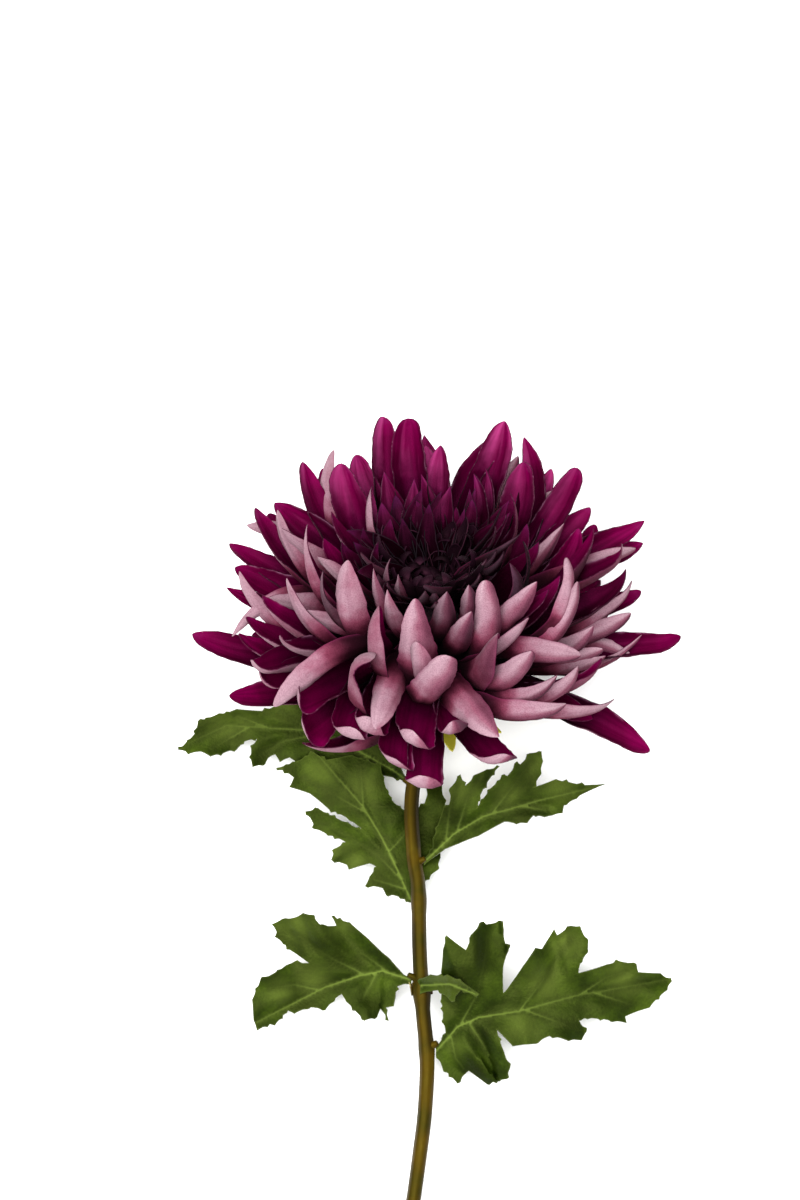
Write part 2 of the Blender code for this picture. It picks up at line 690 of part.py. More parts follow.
def stem_radius(place):
    """The stem's radius where its middle line passes a place: plain, with a swelling at each joint."""
    level = (place - BLOOM_MIDDLE).dot(PLANE_UP)
    rise = sum(size * smooth(1 - abs(level - at) / half) for at, half, size in STEM_SWELLINGS)
    return STEM_RADIUS + rise


def stem_mesh():
    line = spline(stem_line(), STEM_SPREAD)
    radii = [stem_radius(place) for place in line]
    return rod(line, radii, STEM_SIDES)


def build_stem(green):
    return new_object("stem", stem_mesh(), (green,))


def rib_place(rib, x, y):
    """The nearest place on a leaf's midrib: how far along, how far off to one side, and its depth."""
    best = None
    walked = 0.0
    for (ax, ay, az), (bx, by, bz) in zip(rib, rib[1:]):
        run = Vector((bx - ax, by - ay))
        off = Vector((x - ax, y - ay))
        share = min(max(off.dot(run) / run.length_squared, 0.0), 1.0)
        away = off - run * share
        if best is None or away.length < best[0]:
            side = math.copysign(1, run.x * off.y - run.y * off.x)
            best = (away.length, walked + run.length * share, side, az + (bz - az) * share)
        walked += run.length
    return best


def leaf_depth(leaf, x, y):
    """How far out of the plane the leaf's upper face lies."""
    off, along, side, depth = rib_place(leaf["rib"], x, y)
    swing = math.sin(math.tau * along / WAVE_LENGTH + side)
    wave = leaf["wave"] * swing * min(off / WAVE_WIDTH, WAVE_MOST)
    return depth + leaf["fold"] * off - LEAF_DROP * off * off + wave


def leaf_mesh(leaf, cuts, blade):
    """A thin closed blade over the outline, split into the same triangles on both faces."""
    mesh = bmesh.new()
    mesh.faces.new([mesh.verts.new((x, y, 0)) for x, y in leaf["outline"]])
    for axis in range(2):
        reach = [point[axis] for point in leaf["outline"]]
        normal = Vector((axis == 0, axis == 1, 0))
        for step in range(1, math.ceil((max(reach) - min(reach)) / cuts)):
            place = normal * (min(reach) + step * cuts)
            everything = mesh.verts[:] + mesh.edges[:] + mesh.faces[:]
            bmesh.ops.bisect_plane(mesh, geom=everything, plane_co=place, plane_no=normal, dist=0.05)
    bmesh.ops.triangulate(mesh, faces=mesh.faces)
    bmesh.ops.recalc_face_normals(mesh, faces=mesh.faces)
    if mesh.faces[:][0].normal.z < 0:
        bmesh.ops.reverse_faces(mesh, faces=mesh.faces)
    rim = [edge for edge in mesh.edges if edge.is_boundary]
    under = {}
    for upper in mesh.verts[:]:
        x, y = upper.co.x, upper.co.y
        depth = leaf_depth(leaf, x, y)
        upper.co = plane_point(x, y, depth)
        under[upper] = mesh.verts.new(plane_point(x, y, depth - blade))
    for face in mesh.faces[:]:
        mesh.faces.new([under[upper] for upper in reversed(face.verts)])
    for edge in rim:
        first, second = edge.verts
        mesh.faces.new((first, under[first], under[second]))
        mesh.faces.new((first, under[second], second))
    bmesh.ops.recalc_face_normals(mesh, faces=mesh.faces)
    return mesh


def build_leaf(name, green):
    return new_object(name, leaf_mesh(LEAVES[name], LEAF_CUTS, LEAF_BLADE), (green,))


def material(name, colour, roughness):
    made = bpy.data.materials.new(name)
    made.use_nodes = True
    shader = made.node_tree.nodes["Principled BSDF"]
    shader.inputs["Base Color"].default_value = (*colour, 1)
    shader.inputs["Roughness"].default_value = roughness
    shader.inputs["Metallic"].default_value = 0
    made.diffuse_color = (*colour, 1)
    return made


def stand_at_origin(nodes):
    """Moves all nodes together until the underside of their box is centred on the origin."""
    corners = [corner.co for node in nodes for corner in node.data.vertices]
    low = Vector(min(corner[axis] for corner in corners) for axis in range(3))
    high = Vector(max(corner[axis] for corner in corners) for axis in range(3))
    shift = Vector((-(low.x + high.x) / 2, -(low.y + high.y) / 2, -low.z))
    for node in nodes:
        for corner in node.data.vertices:
            corner.co += shift


def main():
    for old in list(bpy.data.objects):
        bpy.data.objects.remove(old)
    face = material("petal_face", (0.20, 0.004, 0.085), 0.7)
    reverse = material("petal_reverse", (0.50, 0.22, 0.32), 0.8)
    dark = material("heart", (0.03, 0.004, 0.02), 0.7)
    lime = material("calyx", (0.40, 0.36, 0.05), 0.6)
    leaf_green = material("leaf", (0.06, 0.11, 0.015), 0.6)
    stem_green = material("stem", (0.12, 0.09, 0.01), 0.5)
    nodes = [
        build_bloom(face, reverse),
        build_heart(dark),
        build_calyx(lime),
        build_stem(stem_green),
    ]
    for name in LEAVES:
        nodes.append(build_leaf(name, leaf_green))
    stand_at_origin(nodes)


main()
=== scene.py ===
import math
import random

import bmesh
import bpy
import numpy as np
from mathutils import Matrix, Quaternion, Vector, geometry, noise


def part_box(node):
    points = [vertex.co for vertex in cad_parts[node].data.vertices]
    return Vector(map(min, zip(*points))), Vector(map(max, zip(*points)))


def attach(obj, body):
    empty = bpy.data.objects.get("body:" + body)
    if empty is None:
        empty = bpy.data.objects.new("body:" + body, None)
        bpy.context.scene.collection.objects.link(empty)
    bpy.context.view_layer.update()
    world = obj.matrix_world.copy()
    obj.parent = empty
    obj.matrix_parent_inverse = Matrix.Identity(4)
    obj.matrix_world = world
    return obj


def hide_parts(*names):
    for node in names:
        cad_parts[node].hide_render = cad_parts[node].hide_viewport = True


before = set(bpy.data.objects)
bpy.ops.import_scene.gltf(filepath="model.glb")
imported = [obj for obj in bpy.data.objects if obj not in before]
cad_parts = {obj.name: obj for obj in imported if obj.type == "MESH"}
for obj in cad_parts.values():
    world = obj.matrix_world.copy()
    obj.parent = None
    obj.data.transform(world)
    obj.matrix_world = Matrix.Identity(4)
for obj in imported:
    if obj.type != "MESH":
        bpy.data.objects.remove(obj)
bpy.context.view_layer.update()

bpy.ops.object.select_all(action="DESELECT")

# All sizes are in mm until a piece is made. The flower is laid out, as in the CAD, in a plane that
# leans back over the table, from the bloom's middle: x to the right, y up the plane, z out of it.
layout = {"rise": 75, "bloomHeight": 40.0, "bloomTilt": 39, "bloomYaw": -0.05}
seeds = {
    "layers": 11, "heart": 12, "hooks": 13,
    "petals": 100, "heartCollar": 210, "heartFlorets": 200, "sepals": 300, "leaves": 400,
}
toMetres = 0.001
goldenTurn = 137.5
rise = math.radians(layout["rise"])
planeRight = Vector((1, 0, 0))
planeUp = Vector((0, math.sin(rise), math.cos(rise)))
planeOut = Vector((0, -math.cos(rise), math.sin(rise)))
bloomMiddle = Vector((0, 0, layout["bloomHeight"]))
tilt = math.radians(layout["bloomTilt"])
bloomAxis = planeRight * layout["bloomYaw"] + planeUp * math.cos(tilt) + planeOut * math.sin(tilt)
bloomAxis.normalize()
bloomSide = (planeRight - bloomAxis * planeRight.dot(bloomAxis)).normalized()
bloomBack = bloomAxis.cross(bloomSide)


def planePoint(x, y, z):
    return bloomMiddle + planeRight * x + planeUp * y + planeOut * z


def outward(turn):
    return bloomSide * math.cos(turn) + bloomBack * math.sin(turn)


def bloomDirection(lean, turn):
    lean, turn = math.radians(lean), math.radians(turn)
    return bloomAxis * math.cos(lean) + outward(turn) * math.sin(lean)


def onAxis(height):
    return bloomMiddle + bloomAxis * height


def smooth(value):
    value = min(max(value, 0.0), 1.0)
    return value * value * (3 - 2 * value)


stemShape = {
    "radius": 2.3,
    "top": -14.3,           # its start on the bloom's axis
    "neck": 8.0,            # length that stays on that axis
    "spread": 9.0,          # mm between the CAD's rings, and their sides
    "sides": 12,
    # level, half length and height of the swellings at the leaf joints
    "swellings": ((-80.0, 5.0, 0.25), (-107.5, 6.0, 0.6), (-125.0, 4.0, 0.2)),
    # middle line as x, y in the plane and height over the table
    "path": (
        (-6.9, -44.5, 17.6), (-6.9, -65.0, 16.0), (-5.4, -76.5, 15.1), (-5.1, -94.5, 13.6),
        (-4.0, -113.0, 12.0), (-2.8, -128.0, 10.7), (-3.4, -143.0, 9.4), (-4.8, -155.0, 8.4),
        (-7.2, -171.6, 7.0), (-11.0, -192.0, 5.2), (-13.5, -215.0, 3.2), (-14.5, -236.0, 2.45),
    ),
    "fineSpread": 1.6,      # the same for the finer skin made here
    "fineSides": 36,
    "searchSpread": 0.5,    # steps in which the place of a growth is looked for
    "ridges": 7,
    "ridgeHeight": 0.04,
    "ridgeTwist": 0.02,     # radians that the ridges turn in a mm
    "unevenness": 0.12,
    "lumps": (0.05, 0.6),   # how fast the unevenness changes in a mm along and from side to side
    # painted shadows, stretches with a dark side: from and to on the way up, side (-1 left, 1 right) and how
    # dark
    "paintedShadows": ((-67, -40, 1, 0.85), (-100, -84, -1, 0.6), (-127, -104, 1, 0.75)),
    "shadeEase": 4.0,       # mm over which a shade fades in
    "shadeRound": (0.45, 0.75),
}


def spline(points, spread):
    path = []
    last = len(points) - 1
    for index in range(last):
        before, start = points[max(index - 1, 0)], points[index]
        end, after = points[index + 1], points[min(index + 2, last)]
        steps = max(1, round((end - start).length / spread))
        for step in range(steps):
            part = step / steps
            path.append(
                0.5 * (
                    2 * start
                    + (end - before) * part
                    + (2 * before - 5 * start + 4 * end - after) * part ** 2
                    + (3 * start - before - 3 * end + after) * part ** 3
                )
            )
    path.append(points[-1])
    return path


def stemLine(spread):
    start = onAxis(stemShape["top"])
    points = [start, start - bloomAxis * stemShape["neck"]]
    for x, y, height in stemShape["path"]:
        depth = (height - layout["bloomHeight"] - y * planeUp.z) / planeOut.z
        points.append(planePoint(x, y, depth))
    return spline(points, spread)


def levelOf(place):
    # how far up the plane a place lies from the bloom's middle
    return (place - bloomMiddle).dot(planeUp)


def stemRadius(place):
    level = levelOf(place)
    swell = sum(size * smooth(1 - abs(level - at) / half) for at, half, size in stemShape["swellings"])
    return stemShape["radius"] + swell


def stemRings(spread, sides):
    # the middle of each ring round the stem and the directions from there to its points
    line = stemLine(spread)
    rings = []
    side = planeRight
    for index, centre in enumerate(line):
        ahead = (line[min(index + 1, len(line) - 1)] - line[max(index - 1, 0)]).normalized()
        side = (side - ahead * side.dot(ahead)).normalized()
        third = ahead.cross(side)
        spokes = []
        for corner in range(sides):
            angle = math.tau * corner / sides
            spokes.append(side * math.cos(angle) + third * math.sin(angle))
        rings.append((centre, spokes))
    return rings


def stemCorner():
    # lowest corner of the CAD stem as it is before the CAD sets the flower down on its origin
    corners = []
    for centre, spokes in stemRings(stemShape["spread"], stemShape["sides"]):
        corners += [centre + spoke * stemRadius(centre) for spoke in spokes]
    return Vector(min(corner[axis] for corner in corners) for axis in range(3))


# The CAD centres the underside of the flower's box on the origin; the stem tells how far it moves.
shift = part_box("stem")[0] / toMetres - stemCorner()
print("flower's shift in mm:", [round(value, 3) for value in shift])


# Materials

def linear(hexColour):
    parts = [int(hexColour[i:i + 2], 16) / 255 for i in (1, 3, 5)]
    return tuple(v / 12.92 if v <= 0.04045 else ((v + 0.055) / 1.055) ** 2.4 for v in parts) + (1.0,)


def setInputs(tree, node, inputs):
    # links what comes out of another node and sets the rest; a colour is given in hex
    for key, value in inputs.items():
        if isinstance(value, bpy.types.NodeSocket):
            tree.links.new(value, node.inputs[key])
        else:
            node.inputs[key].default_value = linear(value) if isinstance(value, str) else value


def addNode(tree, kind, inputs=(), output=0, stops=(), **settings):
    # adds a node with its settings, links and colour stops, and gives back one of its outputs
    node = tree.nodes.new(f"ShaderNode{kind}")
    for key, value in settings.items():
        setattr(node, key, value)
    setInputs(tree, node, inputs if isinstance(inputs, dict) else dict(enumerate(inputs)))
    if stops:
        elements = node.color_ramp.elements
        while len(elements) < len(stops):
            elements.new(0.5)
        for element, (place, colour) in zip(elements, stops):
            element.position = place
            element.color = linear(colour)
    return node.outputs[output]


def newMaterial(name, *carried):
    # a new material with its node tree and the values that a mesh carries for it
    made = bpy.data.materials.new(name)
    made.use_nodes = True
    tree = made.node_tree
    return made, tree, [addNode(tree, "Attribute", (), "Fac", attribute_name=key) for key in carried]


def finish(made, sockets, height=None, depth=0.1, strength=1.0):
    # sets and links the sockets of the material's shader, with a fine relief so many mm deep
    tree = made.node_tree
    if height is not None:
        relief = {"Height": height, "Distance": depth * toMetres, "Strength": strength}
        sockets["Normal"] = addNode(tree, "Bump", relief)
    setInputs(tree, tree.nodes["Principled BSDF"], sockets)
    return made


def coats(tree, colour, *layers):
    # lays colours over one another: how strongly each covers, the colour and how it blends
    for cover, coat, kind in layers:
        colour = addNode(tree, "Mix", {0: cover, 6: colour, 7: coat}, 2, data_type="RGBA", blend_type=kind)
    return colour


def grain(tree, perMm, detail=3.0, roughness=0.6):
    # blotches in the piece's own space, so many to a millimetre
    where = addNode(tree, "TexCoord", (), "Object")
    blotches = {"Vector": where, "Scale": perMm / toMetres, "Detail": detail, "Roughness": roughness}
    return addNode(tree, "TexNoise", blotches)


def streaks(tree, across, along, tone, crossings, lengths):
    # lengthwise streaks that follow a petal, different on each by its tone
    where = []
    for value, many in ((across, crossings), (along, lengths), (tone, 57.0)):
        where.append(addNode(tree, "Math", (value, many), operation="MULTIPLY"))
    where = addNode(tree, "CombineXYZ", where)
    return addNode(tree, "TexNoise", {"Vector": where, "Scale": 1.0, "Detail": 4.0})


def petalFaceCloth():
    # dyed polyester satin: deep magenta with a pink gloss and a painted pink sheen on the upper petals;
    # painted shade darkens it to nearly black towards the root
    carried = ("along", "across", "dusk", "tone", "paintedSheenAmount")
    made, tree, (along, across, dusk, tone, paintedSheenAmount) = newMaterial("dyedPetalSatin", *carried)
    wander = addNode(tree, "Math", (grain(tree, 0.12), 0.26, -0.13), operation="MULTIPLY_ADD")
    place = addNode(tree, "Math", (along, wander), operation="ADD")
    # painted shade: the face darkens towards the root, deep in the bloom
    lit = addNode(tree, "ValToRGB", (place,), stops=(
        (0.0, "#080004"), (0.42, "#18000b"), (0.66, "#2a0015"),
        (0.85, "#460023"), (0.96, "#5c0032"), (1.0, "#640c3e"),
    ))
    dark = addNode(tree, "ValToRGB", (place,), stops=(
        (0.0, "#010000"), (0.5, "#020101"), (0.72, "#080205"), (0.9, "#1c0612"), (1.0, "#3a1030"),
    ))
    lines = streaks(tree, across, along, tone, 5.0, 1.6)
    lined = addNode(tree, "ValToRGB", (lines,), stops=((0.28, "#8a7e86"), (0.5, "#c8c0c4"), (0.7, "#f0ecee")))
    light = addNode(tree, "Math", (1.0, dusk), operation="SUBTRACT")
    # painted sheen: lighter pink on broad streaks of the upper half of the petals that stand high up the
    # plane
    folds = streaks(tree, across, along, tone, 0.9, 1.1)
    paintedSheen = addNode(tree, "ValToRGB", (folds,), stops=((0.44, "#000000"), (0.64, "#ffffff")))
    upper = addNode(tree, "ValToRGB", (place,), stops=((0.7, "#000000"), (0.9, "#ffffff")))
    for share in (upper, paintedSheenAmount, light):
        paintedSheen = addNode(tree, "Math", (paintedSheen, share), operation="MULTIPLY")
    # one edge of each petal shows the pale reverse in patches
    chosen = addNode(tree, "Math", (tone, 0.5), operation="SUBTRACT")
    chosen = addNode(tree, "Math", (chosen,), operation="SIGN")
    rim = addNode(tree, "Math", (across, chosen), operation="MULTIPLY")
    rim = addNode(tree, "Math", (rim, 0.0), operation="MAXIMUM")
    rim = addNode(tree, "Math", (rim, 26.0), operation="POWER")
    patchy = addNode(tree, "ValToRGB", (grain(tree, 0.25, 1.0),), stops=((0.45, "#000000"), (0.6, "#ffffff")))
    for share in (patchy, light):
        rim = addNode(tree, "Math", (rim, share), operation="MULTIPLY")
    colour = coats(
        tree, lit, (dusk, dark, "MIX"), (0.65, lined, "MULTIPLY"),
        (paintedSheen, "#943468", "MIX"), (rim, "#7c5069", "MIX"),
    )
    rough = addNode(tree, "Math", (grain(tree, 2.2, 2.0), lines), operation="ADD")
    return finish(made, {
        "Base Color": colour, "Roughness": 0.42, "IOR": 1.46, "Specular IOR Level": 0.11,
        "Specular Tint": "#ff48a8",
    }, rough, 0.1, 0.8)


def petalReverseCloth():
    # undyed back of the same cloth: dusty pink, its fine weave drawn at 0.3 mm so that it shows; painted
    # shade darkens it towards the root and on the side away from the light
    carried = ("along", "across", "dusk", "tone", "paintedShade")
    made, tree, (along, across, dusk, tone, paintedShade) = newMaterial("paleWovenReverse", *carried)
    wander = addNode(tree, "Math", (grain(tree, 0.15), 0.36, -0.18), operation="MULTIPLY_ADD")
    place = addNode(tree, "Math", (along, wander), operation="ADD")
    # painted shade: darker towards the root
    pale = addNode(tree, "ValToRGB", (place,), stops=(
        (0.0, "#14020a"), (0.38, "#2e081c"), (0.54, "#4c162e"),
        (0.67, "#7a4a5a"), (0.8, "#8a6c76"), (1.0, "#927880"),
    ))
    dim = addNode(tree, "ValToRGB", (place,), stops=(
        (0.0, "#040203"), (0.5, "#0c060a"), (0.75, "#20121a"), (1.0, "#442a38"),
    ))
    lines = streaks(tree, across, along, tone, 3.0, 1.2)
    tint = addNode(tree, "ValToRGB", (lines,), stops=((0.3, "#b0809a"), (0.55, "#ecdce4"), (0.75, "#ffffff")))
    # painted shade on the side away from the light and at the root, in blotches
    spots = addNode(tree, "Math", (grain(tree, 0.1, 2.0), 0.4), operation="MULTIPLY")
    paintedShadeMix = addNode(tree, "Math", (paintedShade, 0.7, spots), operation="MULTIPLY_ADD")
    paintedShadeColour = addNode(tree, "ValToRGB", (paintedShadeMix,), stops=(
        (0.24, "#ffffff"), (0.42, "#cc94aa"), (0.62, "#883460"), (0.85, "#561440"),
    ))
    weave = grain(tree, 3.0, 1.0, 0.4)
    threads = addNode(tree, "ValToRGB", (weave,), stops=((0.32, "#a890a0"), (0.6, "#ffffff")))
    edge = addNode(tree, "Math", (across,), operation="ABSOLUTE")
    edge = addNode(tree, "Math", (edge, 14.0), operation="POWER")
    edge = addNode(tree, "Math", (edge, 0.5), operation="MULTIPLY")
    colour = coats(
        tree, pale, (dusk, dim, "MIX"), (0.35, tint, "MULTIPLY"), (0.9, paintedShadeColour, "MULTIPLY"),
        (0.42, threads, "MULTIPLY"), (edge, "#5a1838", "MIX"),
    )
    sockets = {"Base Color": colour, "Roughness": 0.85, "IOR": 1.45, "Specular IOR Level": 0.06}
    return finish(made, sockets, weave, 0.1, 0.8)


def petalEdgeCloth():
    # cut edge of the cloth: loose pale threads between the two dyed sides, in painted shade towards the root
    made, tree, (along, dusk) = newMaterial("frayedClothEdge", "along", "dusk")
    threads = addNode(tree, "ValToRGB", (grain(tree, 0.9, 2.0),), stops=(
        (0.35, "#300319"), (0.55, "#3c0a24"), (0.75, "#663a50"),
    ))
    # painted shade: darker towards the root
    paintedRootShade = addNode(tree, "ValToRGB", (along,), stops=((0.6, "#180410"), (0.9, "#ffffff")))
    colour = coats(tree, threads, (1.0, paintedRootShade, "MULTIPLY"), (dusk, "#0a0308", "MIX"))
    return finish(made, {"Base Color": colour, "Roughness": 0.9, "Specular IOR Level": 0.1})


def heartCloth():
    # the innermost florets' cloth, steeped in dye until nearly black, with a faint purple gloss and a painted
    # highlight on the tips of some
    made, tree, (along, tone) = newMaterial("blackenedHeartCloth", "along", "tone")
    body = addNode(tree, "ValToRGB", (grain(tree, 0.3),), stops=((0.35, "#030202"), (0.65, "#0b0307")))
    # painted highlight: lighter tips on some florets, by their tone
    tip = addNode(tree, "Math", (along, 5.0), operation="POWER")
    tip = addNode(tree, "Math", (tip, tone), operation="MULTIPLY")
    colour = coats(tree, body, (tip, "#1e0b16", "MIX"))
    sockets = {"Base Color": colour, "Roughness": 0.5, "Specular IOR Level": 0.18, "Specular Tint": "#c07090"}
    return finish(made, sockets, grain(tree, 1.8, 2.0), 0.08)


petalCloths = (petalFaceCloth(), petalReverseCloth(), petalEdgeCloth())
heartCloths = (heartCloth(),) * 3


# Pieces

def keepSelected(*chosen):
    bpy.ops.object.select_all(action="DESELECT")
    for one in chosen:
        one.select_set(True)
    bpy.context.view_layer.objects.active = chosen[0]


def applyModifier(piece, kind, **settings):
    keepSelected(piece)
    modifier = piece.modifiers.new(kind.title(), kind)
    for key, value in settings.items():
        setattr(modifier, key, value)
    bpy.ops.object.modifier_apply(modifier=modifier.name)


def pieceFrom(name, data):
    data.name = name
    piece = bpy.data.objects.new(name, data)
    bpy.context.scene.collection.objects.link(piece)
    return piece


def settle(piece, node, creases):
    # edges sharper than the creases' degrees stay sharp; the piece rides with the flower for its CAD node
    keepSelected(piece)
    bpy.ops.object.shade_smooth_by_angle(angle=math.radians(creases))
    bpy.ops.object.transform_apply(location=True, rotation=True, scale=True)
    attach(piece, "root")
    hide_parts(node)
    faces = sum(len(face.vertices) - 2 for face in piece.data.polygons)
    print(piece.name, "is made,", faces, "triangles")


# Petals

petalShape = {
    "rows": 28,             # cells from root to tip of one petal
    "columns": 12,          # cells from edge to edge
    "crowding": 1.6,        # how much closer the rows lie towards the tip
    "rootShare": 0.34,      # width at the root as a share of the greatest
    "grown": 0.6,           # share of the length where the greatest width is reached
    "widest": 0.62,         # and where the tip starts to narrow
    "tipPower": 0.72,       # higher is more pointed
    "tipRound": 2.2,        # higher is rounder
    "tipDraws": (0.8, 1.2),
    "thickness": 0.3,
    "unrolled": 1.4,        # width of the flat petal against its width once channelled
    "cup": 68,              # degrees that each wall of the channel stands up
    "cupAtRoot": 1.2,
    "cupAtTip": 1.05,
    "keel": 1.5,            # higher is a tighter fold along the middle
    "hookFlat": 0.75,       # how much less channelled a hooked tip is
    "rollLength": 9.0,      # mm of the petal that the hook rolls in
    "skew": 0.4,            # how far tips lean to one side, as a share of half the width
    "grooves": 0.3,         # mm that the lengthwise grooves sink in
    "ripple": 0.45,         # mm that the edges wander
    "ragged": 0.045,        # share of the width by which the edges are ragged
    "dent": 0.32,           # mm that the face is dented
    "uneven": 0.12,         # share by which cups and widths differ
}

# The middle line of a petal, and how its form follows from its place.
petalBend = {
    "steps": 50,
    "root": 6.0,            # mm from the bloom's middle where it starts
    "bendStart": 0.15,      # shares of the length
    "bendSpan": 0.75,
    "curlStart": 0.8,
    "rootRoll": 0.8,        # how much of a petal's roll its root has
    "belly": 5.0,           # mm that the middle of a 10 mm wide petal sags out
    "viaReach": 0.8,        # how far out a place on the way lies as a share of the tip's reach
    "archedFrom": 20,       # mm in front of the bloom's middle from where petals arch so
    "bluntFrom": 40,        # degrees of hook from which tips are blunter, and over how many more
    "bluntSpan": 60,
    "bluntRound": 1.0,
    "bluntPower": 0.15,
    "flatFrom": 0.7,        # radians of hook from which tips are flatter
    "duskFull": 3,          # how soon dusky petals are as pointed as can be
    "duskRound": 1.1,
    "duskPower": 0.3,
    "tableEase": 1.6,       # mm over which a petal bends where it meets the table
}

# What makes each petal uneven: waves in radians from root to tip or from the middle to an edge.
petalWaves = {
    "evenCup": (0.5, 0.8),  # from and to where the channel is even
    "belly": (1.05, 0.6),   # where the belly ends and how full it is
    "grooves": 3,
    "grooveShift": 0.4,
    "grooveDraws": (0.4, 1.5),
    "ripple": (11, 23, 0.6),        # long and short waves, the share of the short ones
    "swell": (0.03, 0.06, 17),      # at the root, more at the tip, wave
    "ragged": (83, 37),
    "dent": (9, 2.2),
    "skewFrom": 0.7,
    "skewPower": 1.5,
}

# How the painted shade and the painted sheen lie on the petals.
petalPaintedLight = {
    "paintedSheenFrom": 48,        # mm up the plane from where tips get a painted sheen, and over how many more
    "paintedSheenSpan": 14,
    "paintedSheen": (0.25, 0.5),   # for every petal, and more by its tone
    "hanging": 0.6,         # the side in painted shade, away from the light: how much lower counts against further right
    "right": (0.9, 45, 0.2),        # in the middle, mm to the right that add as much again, least
    "beside": (0.5, 1.1),   # how far over the middle it reaches, and over what width it fades
    "strength": (0.4, 0.6),
    "paintedRootShade": (0.74, 0.25),         # up to where the root is in painted shade, and over what length it fades
}

# Layers from the outside in: count, lean and reach of the tips, bend inwards, width, curl of the tip.
petalLayers = (
    (15, 97, 57, -14, 10.8, 46),
    (16, 88, 62, -8, 10.8, 40),
    (16, 79, 65, 0, 10.8, 44),
    (16, 70, 66, 8, 10.8, 40),
    (15, 61, 66, 18, 10.5, 30),
    (14, 52, 63, 30, 9.5, 24),
    (14, 43, 57, 46, 8.5, 16),
    (13, 36, 50, 58, 7.5, 10),
)
layerDraws = {
    "turn": 0.24,
    "lean": 3.0,
    "reach": 0.06,
    "roll": 16,
    "sweep": 14,
    "curl": (0.4, 1.4),
    "frontBend": 0.5,       # how much less petals in front bend inwards
    "clearance": 9.0,       # degrees kept between a layer's petal and those of the photo
    "dusk": (3.5, 3.5),     # layer from which petals are dusky, and over how many more
    "hook": (15, 115, 15),  # degrees: least, more for the lowest in front, draw
    "hookDrop": (0.05, 0.5),
}

# Places where the layers leave the bloom open: x, y, z in the plane and the angle kept bare.
barePlaces = (
    (8, 58, 0, 9), (40, -38, 20, 15), (-58, -26, 16, 10), (-6, -26, 44, 30), (-22, 6, 46, 16),
    (26, 0, 46, 18), (-36, -22, 34, 17), (27, -30, 34, 13), (20, -26, 40, 15),
)

